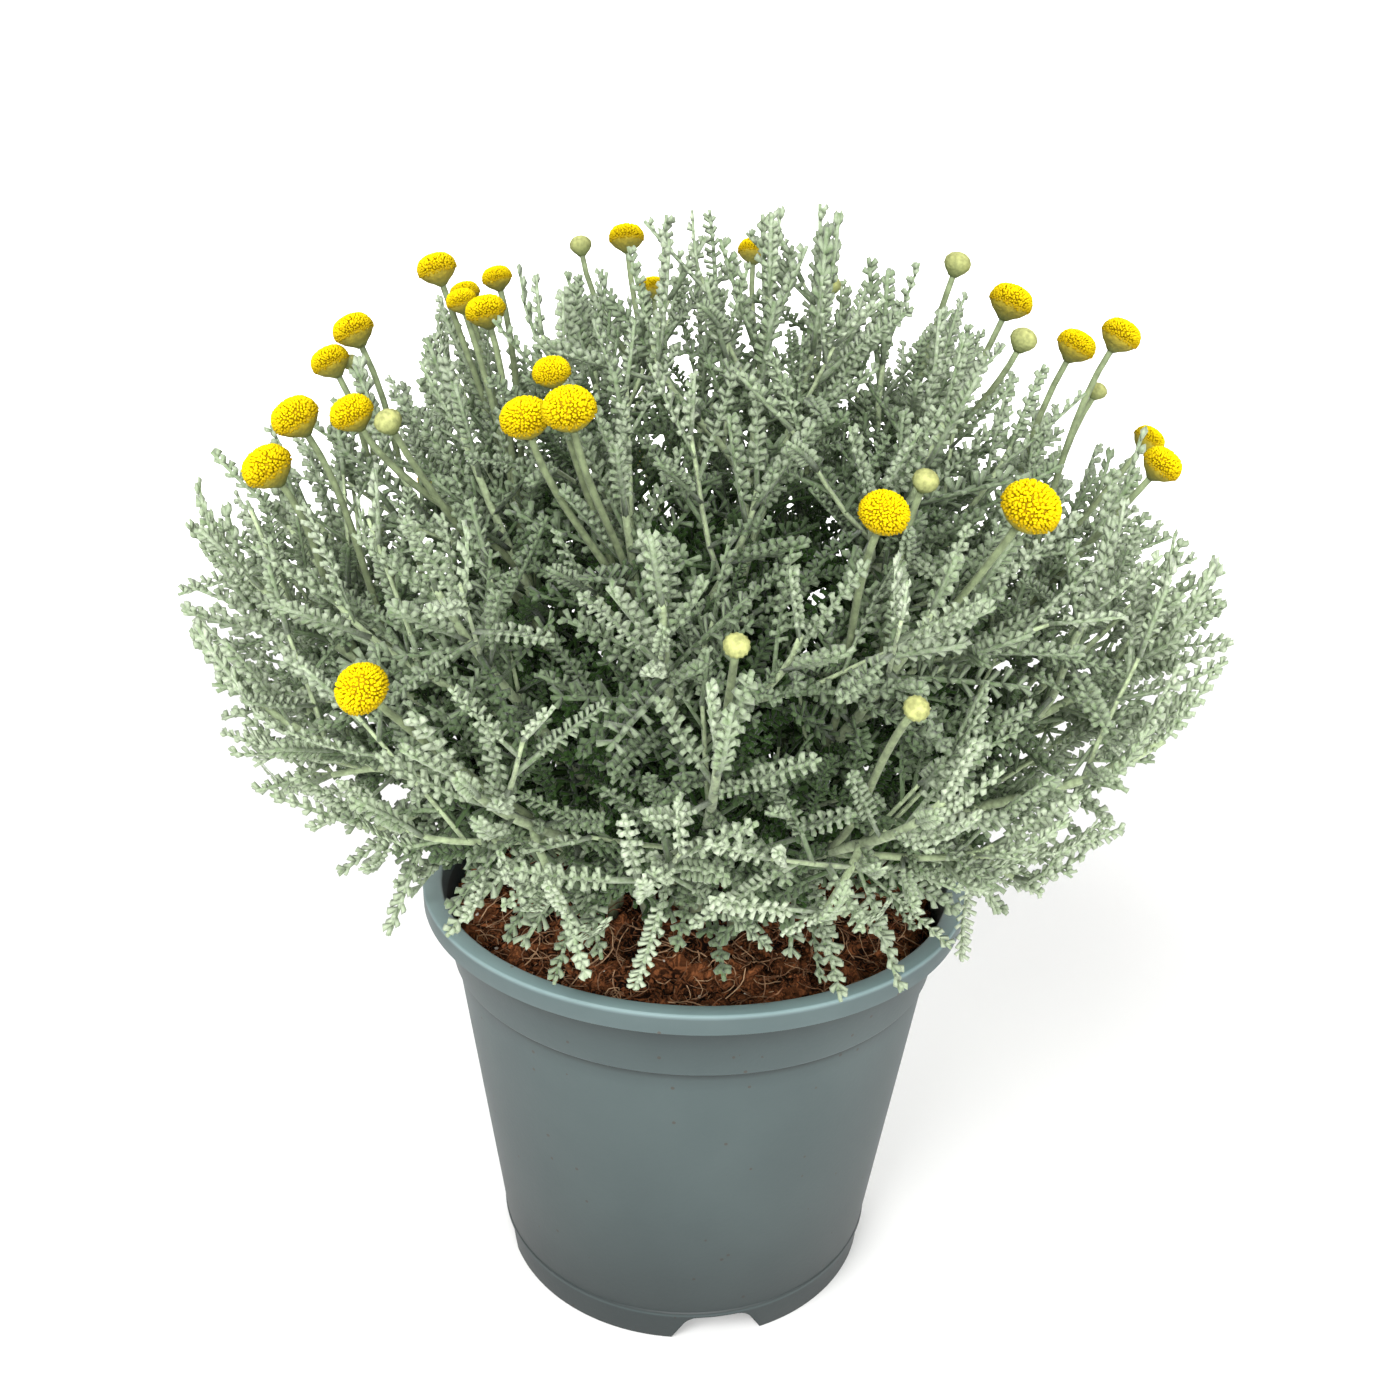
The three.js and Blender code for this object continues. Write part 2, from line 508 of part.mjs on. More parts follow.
for (let row = 0; row < LOW_SITES.length; row += 1) {
  plants.forEach(({ number, shoots }) => {
    const mainSites = STEMS[number].tip[1] > 50 ? LOW_SITES : MAIN_SITES;
    shoots.forEach((shoot, j) => {
      const site = shoot.sites[(j === 0 ? mainSites : SIDE_SITES)[row]];
      if (!site) return;
      for (const turn of TURNS) {
        const tried = { ...site, turn: site.turn + turn, length: site.length * (Math.abs(turn) > 40 ? 0.85 : 1) };
        const shape = leafAt(shoot, tried);
        const leaf = shape && solid(shape);
        if (leaf && clear(leaf, number)) {
          leaves[number].push(leaf);
          return;
        }
      }
    });
  });
}
const stems = bodies.map((body, number) => leaves[number].reduce((whole, leaf) => whole.add(leaf), body));

// Colours and finishes
const potPlastic = new THREE.MeshStandardMaterial({ color: 0x5f7a80, roughness: 0.55, metalness: 0 });
const coir = new THREE.MeshStandardMaterial({ color: 0x54301f, roughness: 0.95, metalness: 0 });
const silverLeaf = new THREE.MeshStandardMaterial({ color: 0x93a597, roughness: 0.9, metalness: 0 });
const floretYellow = new THREE.MeshStandardMaterial({ color: 0xd9c01e, roughness: 0.8, metalness: 0 });

const lavender = new THREE.Group();
lavender.name = 'potted_cotton_lavender';
lavender.add(named('pot', pot, potPlastic.clone()));
lavender.add(named('soil', soil, coir.clone()));
stems.forEach((body, i) => {
  lavender.add(named(`leafy_stem_${String(i + 1).padStart(2, '0')}`, body, silverLeaf.clone()));
});
heads.forEach(({ body }, i) => {
  lavender.add(named(`flower_head_${String(i + 1).padStart(2, '0')}`, body, floretYellow.clone()));
});

export default lavender;
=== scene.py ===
"""Cotton lavender in a nursery pot: the finished look of every piece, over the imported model."""
import math
import bmesh
import bpy
from mathutils import Matrix, Vector, noise


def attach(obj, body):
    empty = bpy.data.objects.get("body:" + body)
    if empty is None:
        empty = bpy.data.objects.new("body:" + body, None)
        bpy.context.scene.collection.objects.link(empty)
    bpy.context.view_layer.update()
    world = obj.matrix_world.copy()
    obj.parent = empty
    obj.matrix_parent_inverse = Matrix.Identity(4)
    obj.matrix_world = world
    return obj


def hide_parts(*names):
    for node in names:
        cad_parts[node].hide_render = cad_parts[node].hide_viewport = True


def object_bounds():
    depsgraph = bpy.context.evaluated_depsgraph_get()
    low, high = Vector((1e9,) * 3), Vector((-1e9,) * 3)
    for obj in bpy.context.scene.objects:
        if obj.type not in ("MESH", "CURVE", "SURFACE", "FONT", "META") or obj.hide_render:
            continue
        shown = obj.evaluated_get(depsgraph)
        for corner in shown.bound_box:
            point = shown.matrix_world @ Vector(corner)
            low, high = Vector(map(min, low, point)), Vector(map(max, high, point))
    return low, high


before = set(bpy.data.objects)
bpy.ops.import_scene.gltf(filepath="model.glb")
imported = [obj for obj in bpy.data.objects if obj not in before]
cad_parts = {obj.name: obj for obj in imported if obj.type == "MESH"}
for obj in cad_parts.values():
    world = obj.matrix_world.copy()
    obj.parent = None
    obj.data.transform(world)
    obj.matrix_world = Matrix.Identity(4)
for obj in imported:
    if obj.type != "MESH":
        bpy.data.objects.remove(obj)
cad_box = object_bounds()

# Camera, floor and light
# The camera stands where the photograph was taken from: a little above the plant, looking down at it.
# The floor is one pale sheet that sweeps up behind the pot, lit by large soft lamps and a white sky.
CAMERA_PLACE = Vector((0.0, -0.3166, 0.274))
CAMERA_DOWN = math.radians(20.45)
CAMERA_ROLL = math.radians(1.83)
CAMERA_LENS = 34.7
CAMERA_SENSOR = 36.0
CAMERA_NEAREST = 0.01
FLOOR_HALF = 1.6
FLOOR_SWEEP = 0.8
FLOOR_SWEEP_STEPS = 24
WALL_HEIGHT = 2.5
FLOOR_WHITE = (0.93, 0.93, 0.92, 1.0)
SKY_WHITE = (1.0, 1.0, 1.0, 1.0)
SKY_STRENGTH = 0.17
LAMP_AIM = Vector((0.0, 0.0, 0.15))
LAMPS = [
    # name, place and width in metres, and power in watts
    ("soft_key", (-0.6, -0.95, 1.15), 0.8, 20.0),
    ("soft_front", (0.25, -1.8, 0.8), 1.0, 38.0),
    ("soft_fill", (1.2, -0.7, 0.7), 1.2, 6.0),
    ("soft_top", (0.1, 0.3, 1.8), 0.9, 3.0),
]
BACKDROP_PLACE = (0.0, 0.9, 1.6)
BACKDROP_TURN = math.radians(75.0)
BACKDROP_SIZE = 2.4
BACKDROP_POWER = 120.0


def plain_material(name, colour, roughness):
    """A material of one colour and roughness."""
    material = bpy.data.materials.new(name)
    material.use_nodes = True
    shader = material.node_tree.nodes["Principled BSDF"]
    shader.inputs["Base Color"].default_value = colour
    shader.inputs["Roughness"].default_value = roughness
    return material


def worked_material(name, colour, roughness):
    """A plain material with its nodes, links and shader, to be built up further."""
    material = plain_material(name, colour, roughness)
    tree = material.node_tree
    return material, tree.nodes, tree.links, tree.nodes["Principled BSDF"]


def finished_piece(name, bm, materials):
    """The object that a worked mesh becomes, at the origin, with its materials."""
    mesh = bpy.data.meshes.new(name)
    bm.to_mesh(mesh)
    bm.free()
    for material in materials:
        mesh.materials.append(material)
    piece = bpy.data.objects.new(name, mesh)
    bpy.context.scene.collection.objects.link(piece)
    return piece


camera_data = bpy.data.cameras.new("camera")
camera_data.lens = CAMERA_LENS
camera_data.sensor_width = CAMERA_SENSOR
camera_data.clip_start = CAMERA_NEAREST
camera = bpy.data.objects.new("camera", camera_data)
camera.matrix_world = (
    Matrix.Translation(CAMERA_PLACE)
    @ Matrix.Rotation(math.radians(90.0) - CAMERA_DOWN, 4, "X")
    @ Matrix.Rotation(CAMERA_ROLL, 4, "Z")
)
bpy.context.scene.collection.objects.link(camera)
bpy.context.scene.camera = camera

floor_mesh = bmesh.new()
bmesh.ops.create_grid(floor_mesh, x_segments=1, y_segments=1, size=FLOOR_HALF)
far_edge = [e for e in floor_mesh.edges if all(v.co.y > 0.0 for v in e.verts)]
swept = bmesh.ops.spin(
    floor_mesh, geom=far_edge, cent=(0.0, FLOOR_HALF, FLOOR_SWEEP), axis=(1.0, 0.0, 0.0),
    angle=math.radians(90.0), steps=FLOOR_SWEEP_STEPS, dvec=(0.0, 0.0, 0.0),
)
wall_edge = [g for g in swept["geom_last"] if isinstance(g, bmesh.types.BMEdge)]
raised = bmesh.ops.extrude_edge_only(floor_mesh, edges=wall_edge)
wall_top = [g for g in raised["geom"] if isinstance(g, bmesh.types.BMVert)]
bmesh.ops.translate(floor_mesh, vec=(0.0, 0.0, WALL_HEIGHT), verts=wall_top)
for face in floor_mesh.faces:
    face.smooth = True
floor = finished_piece("pale_floor", floor_mesh, [plain_material("pale_floor", FLOOR_WHITE, 0.9)])

world = bpy.data.worlds.new("white_sky")
world.use_nodes = True
world.node_tree.nodes["Background"].inputs["Color"].default_value = SKY_WHITE
world.node_tree.nodes["Background"].inputs["Strength"].default_value = SKY_STRENGTH
bpy.context.scene.world = world
bpy.context.scene.view_settings.view_transform = "Standard"

for lamp_name, place, size, power in LAMPS:
    lamp_data = bpy.data.lights.new(lamp_name, "AREA")
    lamp_data.shape = "SQUARE"
    lamp_data.size = size
    lamp_data.energy = power
    lamp = bpy.data.objects.new(lamp_name, lamp_data)
    aim = (LAMP_AIM - Vector(place)).to_track_quat("-Z", "Y").to_matrix().to_4x4()
    lamp.matrix_world = Matrix.Translation(place) @ aim
    bpy.context.scene.collection.objects.link(lamp)

backdrop_lamp = bpy.data.lights.new("backdrop", "AREA")
backdrop_lamp.size = BACKDROP_SIZE
backdrop_lamp.energy = BACKDROP_POWER
backdrop_light = bpy.data.objects.new("backdrop", backdrop_lamp)
backdrop_light.matrix_world = Matrix.Translation(BACKDROP_PLACE) @ Matrix.Rotation(BACKDROP_TURN, 4, "X")
bpy.context.scene.collection.objects.link(backdrop_light)

# Pot
# One thin-walled plastic moulding, matt and blue-green-grey, turned round its axis in the mould.
# It has a flat-topped lip, a collar with a step under it, and a notched foot ring below a raised floor.
MM = 0.001
POT_STEPS = 144
POT_HEIGHT = 110.0
POT_OUTLINE = [
    # radius and height in millimetres, from the axis out under the floor, up the wall and back inside
    (0.0, 8.4), (45.6, 8.4), (46.6, 0.0), (49.8, 0.0), (50.3, 7.7), (51.1, 8.3), (51.1, 9.1), (50.9, 9.5),
    (62.0, 89.0), (62.9, 89.6), (65.6, 105.3), (69.9, 104.8), (70.0, 110.0), (65.3, 109.7), (64.0, 103.8),
    (60.4, 88.6), (49.6, 10.4), (0.0, 10.4),
]
POT_ROUNDINGS = [
    # a corner of the outline, and the width of its rounding
    ((45.6, 8.4), 0.6), ((46.6, 0.0), 0.35), ((49.8, 0.0), 0.4), ((62.9, 89.6), 0.4), ((69.9, 104.8), 0.3),
    ((70.0, 110.0), 0.7), ((65.3, 109.7), 0.7), ((64.0, 103.8), 0.8),
]
NOTCH_ANGLES = (-79.0, 11.0, 101.0, 191.0)
NOTCH_BOTTOM = 23.0
NOTCH_TOP = 15.0
NOTCH_HEIGHT = 7.0
NOTCH_ROUNDING = 2.2
NOTCH_SPARE = 0.6
NOTCH_THROUGH = 16.0
NOTCH_CENTRE = 50.0
DRAIN_RADIUS = 4.0
DRAIN_CIRCLE = 37.0
DRAIN_TURN = 0.6
DRAIN_MIDDLE = 9.4
DRAIN_THROUGH = 8.0
RING_SLACK = 2e-5
SMOOTH_LIMIT = math.radians(24.0)
POT_GREY = (0.045, 0.066, 0.067, 1.0)
POT_GREY_WORN = (0.060, 0.084, 0.084, 1.0)
POT_SPECK = (0.045, 0.040, 0.032, 1.0)
SPECK_SCALE = 190.0
SPECK_SIZE = 0.085
SPECK_PATCH_SCALE = 45.0
SPECK_PATCH_FROM = 0.51
SHADING_UNIT = 0.2
POT_SHADING = [
    # height in mm and painted light: highlights on lip and edges, shade under the lip, in creases and low
    # down
    (0.0, 0.32), (7.2, 0.36), (7.7, 0.95), (8.3, 0.95), (8.9, 0.36), (45.0, 0.76), (84.0, 0.96), (87.4, 0.80),
    (88.8, 0.36), (89.2, 0.38), (89.5, 1.15), (90.2, 0.90), (97.0, 0.74), (101.5, 0.50), (104.3, 0.28),
    (104.7, 0.40), (104.9, 2.0), (105.3, 1.4), (108.9, 1.4), (109.3, 3.0), (109.7, 4.0), (110.0, 4.4),
]


def noise_value(nodes, links, scale, detail, distortion=0.0):
    """A noise at a given scale, per metre of the piece's own space."""
    place = nodes.new("ShaderNodeTexCoord")
    grain = nodes.new("ShaderNodeTexNoise")
    grain.inputs["Scale"].default_value = scale
    grain.inputs["Detail"].default_value = detail
    grain.inputs["Distortion"].default_value = distortion
    links.new(place.outputs["Object"], grain.inputs["Vector"])
    return grain.outputs["Fac"]


def noise_colour(nodes, links, scale, low, high, colour_low, colour_high, detail=4.0, distortion=0.0):
    """Two colours mixed by a noise."""
    ramp = nodes.new("ShaderNodeValToRGB")
    ramp.color_ramp.elements[0].position = low
    ramp.color_ramp.elements[0].color = colour_low
    ramp.color_ramp.elements[1].position = high
    ramp.color_ramp.elements[1].color = colour_high
    links.new(noise_value(nodes, links, scale, detail, distortion), ramp.inputs["Fac"])
    return ramp.outputs["Color"]


def mixed(nodes, links, factor, colour_a, colour_b, blend="MIX"):
    """One colour laid over another by a factor; each may be a plain colour or another node's output."""
    mix = nodes.new("ShaderNodeMix")
    mix.data_type = "RGBA"
    mix.blend_type = blend
    for socket, value in ((mix.inputs[0], factor), (mix.inputs[6], colour_a), (mix.inputs[7], colour_b)):
        if isinstance(value, bpy.types.NodeSocket):
            links.new(value, socket)
        else:
            socket.default_value = value
    return mix.outputs[2]


def noise_bump(nodes, links, scale, strength, distance, detail=3.0):
    """Fine relief from a noise, for the shader's normal."""
    bump = nodes.new("ShaderNodeBump")
    bump.inputs["Strength"].default_value = strength
    bump.inputs["Distance"].default_value = distance
    links.new(noise_value(nodes, links, scale, detail), bump.inputs["Height"])
    return bump.outputs["Normal"]


def number_node(nodes, operation, value=None):
    node = nodes.new("ShaderNodeMath")
    node.operation = operation
    if value is not None:
        node.inputs[1].default_value = value
    return node


def matt_plastic():
    """Clouded plastic with a few dark specks, with light and shade painted on by height."""
    material, nodes, links, shader = worked_material("matt_pot_plastic", POT_GREY, 0.52)
    cloudy = noise_colour(nodes, links, 26.0, 0.35, 0.75, POT_GREY, POT_GREY_WORN)
    place = nodes.new("ShaderNodeTexCoord")
    specks = nodes.new("ShaderNodeTexVoronoi")
    specks.inputs["Scale"].default_value = SPECK_SCALE
    speck_size = number_node(nodes, "LESS_THAN", SPECK_SIZE)
    chosen = nodes.new("ShaderNodeTexNoise")
    chosen.inputs["Scale"].default_value = SPECK_PATCH_SCALE
    some = number_node(nodes, "GREATER_THAN", SPECK_PATCH_FROM)
    both = number_node(nodes, "MULTIPLY")
    links.new(place.outputs["Object"], specks.inputs["Vector"])
    links.new(place.outputs["Object"], chosen.inputs["Vector"])
    links.new(specks.outputs["Distance"], speck_size.inputs[0])
    links.new(chosen.outputs["Fac"], some.inputs[0])
    links.new(speck_size.outputs[0], both.inputs[0])
    links.new(some.outputs[0], both.inputs[1])
    speckled = mixed(nodes, links, both.outputs[0], cloudy, POT_SPECK)
    # painted highlights on the lip and edges, painted shade under the lip, in the creases and low down
    split = nodes.new("ShaderNodeSeparateXYZ")
    height = number_node(nodes, "DIVIDE", POT_HEIGHT * MM)
    shading = nodes.new("ShaderNodeValToRGB")
    stops = shading.color_ramp.elements
    while len(stops) < len(POT_SHADING):
        stops.new(0.5)
    for stop, (z, light) in zip(stops, POT_SHADING):
        stop.position = z / POT_HEIGHT
        stop.color = (SHADING_UNIT * light, SHADING_UNIT * light, SHADING_UNIT * light, 1.0)
    full_range = nodes.new("ShaderNodeVectorMath")
    full_range.operation = "SCALE"
    full_range.inputs["Scale"].default_value = 1.0 / SHADING_UNIT
    links.new(place.outputs["Object"], split.inputs["Vector"])
    links.new(split.outputs["Z"], height.inputs[0])
    links.new(height.outputs[0], shading.inputs["Fac"])
    links.new(shading.outputs["Color"], full_range.inputs[0])
    shaded = mixed(nodes, links, 1.0, speckled, full_range.outputs["Vector"], "MULTIPLY")
    links.new(shaded, shader.inputs["Base Color"])
    links.new(noise_bump(nodes, links, 900.0, 0.12, 0.0003), shader.inputs["Normal"])
    return material


def on_ring(v, radius, height):
    off = abs(math.hypot(v.co.x, v.co.y) - radius * MM)
    return off < RING_SLACK and abs(v.co.z - height * MM) < RING_SLACK


def ring_edges(bm, radius, height):
    """The edges of the ring that one corner of the turned outline has become."""
    return [e for e in bm.edges if all(on_ring(v, radius, height) for v in e.verts)]


pot_mesh = bmesh.new()
outline = [pot_mesh.verts.new((r * MM, 0.0, z * MM)) for r, z in POT_OUTLINE]
outline_edges = [pot_mesh.edges.new(pair) for pair in zip(outline, outline[1:])]
bmesh.ops.spin(
    pot_mesh, geom=outline + outline_edges, cent=(0.0, 0.0, 0.0), axis=(0.0, 0.0, 1.0),
    angle=math.radians(360.0), steps=POT_STEPS, use_merge=True,
)
bmesh.ops.remove_doubles(pot_mesh, verts=pot_mesh.verts, dist=1e-6)
for (corner_radius, corner_height), rounding in POT_ROUNDINGS:
    bmesh.ops.bevel(
        pot_mesh, geom=ring_edges(pot_mesh, corner_radius, corner_height), offset=rounding * MM,
        offset_type="OFFSET", segments=3, profile=0.5, affect="EDGES", material=-1,
    )
bmesh.ops.recalc_face_normals(pot_mesh, faces=pot_mesh.faces)
pot = finished_piece("nursery_pot", pot_mesh, [matt_plastic()])


def place_copy(bm, pattern, matrix, values):
    """A copy of a small pattern mesh, placed in a larger one, with its own attribute values."""
    copy = pattern.copy()
    copy.transform(matrix)
    for name, value in values.items():
        copy.attributes[name].data.foreach_set("value", [value] * len(copy.vertices))
    bm.from_mesh(copy)
    bpy.data.meshes.remove(copy)


def smooth_skin(bm):
    bmesh.ops.recalc_face_normals(bm, faces=bm.faces)
    for face in bm.faces:
        face.smooth = True


def pattern_mesh(name, bm, layers=()):
    """A small mesh kept aside to be copied many times, with its float attributes."""
    mesh = bpy.data.meshes.new(name)
    smooth_skin(bm)
    bm.to_mesh(mesh)
    bm.free()
    for layer in layers:
        if layer not in mesh.attributes:
            mesh.attributes.new(layer, "FLOAT", "POINT")
    return mesh


notch_mesh = bmesh.new()
bmesh.ops.create_cube(notch_mesh, size=1.0)
for corner in notch_mesh.verts:
    is_top = corner.co.z > 0.0
    half = (NOTCH_TOP if is_top else NOTCH_BOTTOM + 2.0 * NOTCH_SPARE) / 2.0
    through = corner.co.y * NOTCH_THROUGH + NOTCH_CENTRE
    height = NOTCH_HEIGHT if is_top else -NOTCH_SPARE
    corner.co = Vector((math.copysign(half, corner.co.x), through, height)) * MM
upper_sides = [
    e for e in notch_mesh.edges
    if all(v.co.z > 0.0 for v in e.verts) and abs(e.verts[0].co.x - e.verts[1].co.x) < 1e-6
]
bmesh.ops.bevel(
    notch_mesh, geom=upper_sides, offset=NOTCH_ROUNDING * MM, offset_type="OFFSET", segments=4,
    profile=0.5, affect="EDGES", material=-1,
)
notch_pattern = pattern_mesh("notch_pattern", notch_mesh)
cutters_mesh = bmesh.new()
for angle in NOTCH_ANGLES:
    place_copy(cutters_mesh, notch_pattern, Matrix.Rotation(math.radians(angle - 90.0), 4, "Z"), {})
    turned = math.radians(angle) + DRAIN_TURN
    drain_x = DRAIN_CIRCLE * MM * math.cos(turned)
    drain_y = DRAIN_CIRCLE * MM * math.sin(turned)
    bmesh.ops.create_cone(
        cutters_mesh, cap_ends=True, segments=32, radius1=DRAIN_RADIUS * MM, radius2=DRAIN_RADIUS * MM,
        depth=DRAIN_THROUGH * MM, matrix=Matrix.Translation((drain_x, drain_y, DRAIN_MIDDLE * MM)),
    )
bmesh.ops.recalc_face_normals(cutters_mesh, faces=cutters_mesh.faces)
cutters = finished_piece("notch_cutters", cutters_mesh, [])
cut = pot.modifiers.new("notches", "BOOLEAN")
cut.operation = "DIFFERENCE"
cut.solver = "EXACT"
cut.object = cutters
cut_mesh = bpy.data.meshes.new_from_object(pot.evaluated_get(bpy.context.evaluated_depsgraph_get()))
pot.modifiers.clear()
pot.data = cut_mesh
bpy.data.objects.remove(cutters)
cut_mesh.shade_smooth()
cut_mesh.set_sharp_from_angle(angle=SMOOTH_LIMIT)
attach(pot, "root")
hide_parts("pot")

# Soil
# Red-brown coir and peat that fills the pot to just below the lip, lumpy and loose on top.
# Curly coir fibres, drawn-out crumbs and a few white grains lie on it; every stem rises out of it.
SOIL_LEVEL = 103.0
SOIL_RADIUS = 62.2
SOIL_SIDE = [(59.5, 86.0), (49.0, 11.2), (0.0, 11.2)]
SOIL_RINGS = 56
SOIL_STEPS = 200
CRUMBLE = [
    # height in millimetres and waves per millimetre
    (3.6, 0.11), (3.0, 0.30), (1.0, 0.9),
]
# the soil's tone is painted shade: darker towards the middle under the plant and in the hollows, lighter on
# raised crumbs
SOIL_TONE_OUTWARD = 0.012
SOIL_TONE_SHADE = 0.50
SOIL_TONE_RAISED = 0.30
STREAK_DISTORTION = 3.5
FIBRE_COUNT = 1300
FIBRE_KINDS = 10
FIBRE_REACH = 60.0
FIBRE_WALL = 63.0
FIBRE_RAISED = 1.3
FIBRE_SUNK = 0.2
FIBRE_RADIUS = 0.17
FIBRE_STEPS = 6
FIBRE_STEP = 1.8
FIBRE_CURL = 4.0
FIBRE_BEND = 26.0
FIBRE_LIFT = 22.0
CRUMB_COUNT = 900
CRUMB_KINDS = 6
CRUMB_REACH = 59.0
CRUMB_ROUGHNESS = 0.45
GRAIN_COUNT = 46
SOIL_DARK = (0.005, 0.002, 0.001, 1.0)
SOIL_RED = (0.340, 0.120, 0.045, 1.0)
FIBRE_PALE = (0.640, 0.410, 0.240, 1.0)
FIBRE_DARK = (0.120, 0.040, 0.017, 1.0)
GRAIN_WHITE = (0.62, 0.58, 0.50, 1.0)
GOLDEN_ANGLE = 137.508


def scatter(piece, draw):
    """Repeatable scatter in -1 to 1, from the number of the piece and of the draw."""
    value = math.sin(piece * 12.9898 + draw * 78.233) * 43758.5453
    return 2.0 * (value - math.floor(value)) - 1.0


def clamped(value):
    return min(1.0, max(0.0, value))


def soil_height(x, y):
    """Height of the soil surface in millimetres, lumpy and a little lower at the wall."""
    r = math.hypot(x, y)
    lumps = 1.1 * math.sin(x * 0.16 + 1.3) * math.cos(y * 0.19 - 0.4) + 0.7 * math.sin(x * 0.31 - y * 0.27)
    return SOIL_LEVEL + lumps - 1.5 * max(0.0, (r - 40.0) / 22.0)


def crumbly(x, y):
    """How far the crumbs raise or sink the soil surface, in millimetres."""
    here = Vector((x, y, 0.0))
    return sum(height * noise.noise(here * waves) for height, waves in CRUMBLE)


def attribute_value(nodes, name):
    node = nodes.new("ShaderNodeAttribute")
    node.attribute_name = name
    return node.outputs["Fac"]


def coir_material(name, dark, light, scale, patchiness):
    """Coir, lighter where its own tone is high, with streaks of a drawn-out noise over it."""
    material, nodes, links, shader = worked_material(name, dark, 0.95)
    streaks = noise_colour(nodes, links, scale, 0.46, 0.64, dark, light, 5.0, STREAK_DISTORTION)
    toned = mixed(nodes, links, attribute_value(nodes, "tone"), dark, light)
    links.new(mixed(nodes, links, patchiness, toned, streaks), shader.inputs["Base Color"])
    links.new(noise_bump(nodes, links, 1400.0, 0.8, 0.0006, 5.0), shader.inputs["Normal"])
    shader.inputs["Specular IOR Level"].default_value = 0.1
    return material


soil_mesh = bmesh.new()
ring_radii = [SOIL_RADIUS * MM * i / SOIL_RINGS for i in range(SOIL_RINGS + 1)]
section = [soil_mesh.verts.new((r, 0.0, SOIL_LEVEL * MM)) for r in ring_radii]
section += [soil_mesh.verts.new((r * MM, 0.0, z * MM)) for r, z in SOIL_SIDE]
section_edges = [soil_mesh.edges.new(pair) for pair in zip(section, section[1:])]
bmesh.ops.spin(
    soil_mesh, geom=section + section_edges, cent=(0.0, 0.0, 0.0), axis=(0.0, 0.0, 1.0),
    angle=math.radians(360.0), steps=SOIL_STEPS, use_merge=True,
)
bmesh.ops.remove_doubles(soil_mesh, verts=soil_mesh.verts, dist=1e-6)
soil_painted_shade = soil_mesh.verts.layers.float.new("tone")
for v in soil_mesh.verts:
    if v.co.z > (SOIL_LEVEL - 1.0) * MM:
        x, y = v.co.x / MM, v.co.y / MM
        v.co.z = (soil_height(x, y) + crumbly(x, y)) * MM
        # painted shade: darker under the plant and in the hollows, lighter where the crumbs stand up
        outward = SOIL_TONE_OUTWARD * math.hypot(x, y)
        v[soil_painted_shade] = clamped(outward - SOIL_TONE_SHADE + SOIL_TONE_RAISED * crumbly(x, y))
smooth_skin(soil_mesh)


def curly_fibre(number):
    """One thin coir fibre, curled more from pattern to pattern and bent at random along its length."""
    bm = bmesh.new()
    bmesh.ops.create_circle(bm, cap_ends=True, segments=3, radius=FIBRE_RADIUS * MM)
    top = bm.faces[:][0]
    place = Matrix.Rotation(math.radians(90.0), 4, "Y")
    bmesh.ops.transform(bm, matrix=place, verts=bm.verts)
    for step in range(FIBRE_STEPS):
        bend = FIBRE_CURL * (number + 1) + FIBRE_BEND * scatter(number, step)
        turn = Matrix.Rotation(math.radians(bend), 4, "X")
        lift = Matrix.Rotation(math.radians(FIBRE_LIFT * scatter(number + 30, step)), 4, "Y")
        new_place = place @ turn @ lift @ Matrix.Translation((0.0, 0.0, FIBRE_STEP * MM))
        grown = bmesh.ops.extrude_face_region(bm, geom=[top] + top.edges[:] + top.verts[:])["geom"]
        top = [g for g in grown if isinstance(g, bmesh.types.BMFace)][0]
        end = [g for g in grown if isinstance(g, bmesh.types.BMVert)]
        bmesh.ops.transform(bm, matrix=new_place @ place.inverted(), verts=end)
        place = new_place
    return pattern_mesh("fibre_pattern", bm, ["tone"])


def crumb(number):
    """One lump of coir: a ball pushed in and out by a noise."""
    bm = bmesh.new()
    bmesh.ops.create_icosphere(bm, subdivisions=1, radius=1.0)
    for v in bm.verts:
        v.co *= 1.0 + CRUMB_ROUGHNESS * noise.noise(v.co * 1.3 + Vector((7.0 * number, 0.0, 0.0)))
    return pattern_mesh("crumb_pattern", bm, ["tone"])


fibre_patterns = [curly_fibre(number) for number in range(FIBRE_KINDS)]
crumb_patterns = [crumb(number) for number in range(CRUMB_KINDS)]


def on_soil(number, draw, reach):
    """A place on the soil surface, more of them towards the wall than by the stems."""
    r = reach * (0.5 + 0.5 * scatter(number, draw)) ** 0.38
    turn = math.radians(number * GOLDEN_ANGLE)
    x, y = r * math.cos(turn), r * math.sin(turn)
    return Vector((x, y, soil_height(x, y) + crumbly(x, y))) * MM


fibre_mesh = bmesh.new()
fibre_mesh.verts.layers.float.new("tone")
for number in range(FIBRE_COUNT):
    lie = (
        Matrix.Translation(on_soil(number + 1, 3, FIBRE_REACH) + Vector((0.0, 0.0, FIBRE_RAISED * MM)))
        @ Matrix.Rotation(math.radians(180.0 * scatter(number, 5)), 4, "Z")
        @ Matrix.Rotation(math.radians(14.0 * scatter(number, 6) - 4.0), 4, "Y")
        @ Matrix.Rotation(math.radians(180.0 * scatter(number, 7)), 4, "X")
        @ Matrix.Scale(0.75 + 0.45 * scatter(number, 8), 4)
    )
    bright = (0.5 + 0.5 * scatter(number, 13)) ** 1.6
    place_copy(fibre_mesh, fibre_patterns[number % len(fibre_patterns)], lie, {"tone": bright})
for v in fibre_mesh.verts:
    r = math.hypot(v.co.x, v.co.y)
    if r > FIBRE_WALL * MM:
        v.co.x *= FIBRE_WALL * MM / r
        v.co.y *= FIBRE_WALL * MM / r
    floor_height = (soil_height(v.co.x / MM, v.co.y / MM) - FIBRE_SUNK) * MM
    v.co.z = max(v.co.z, floor_height)

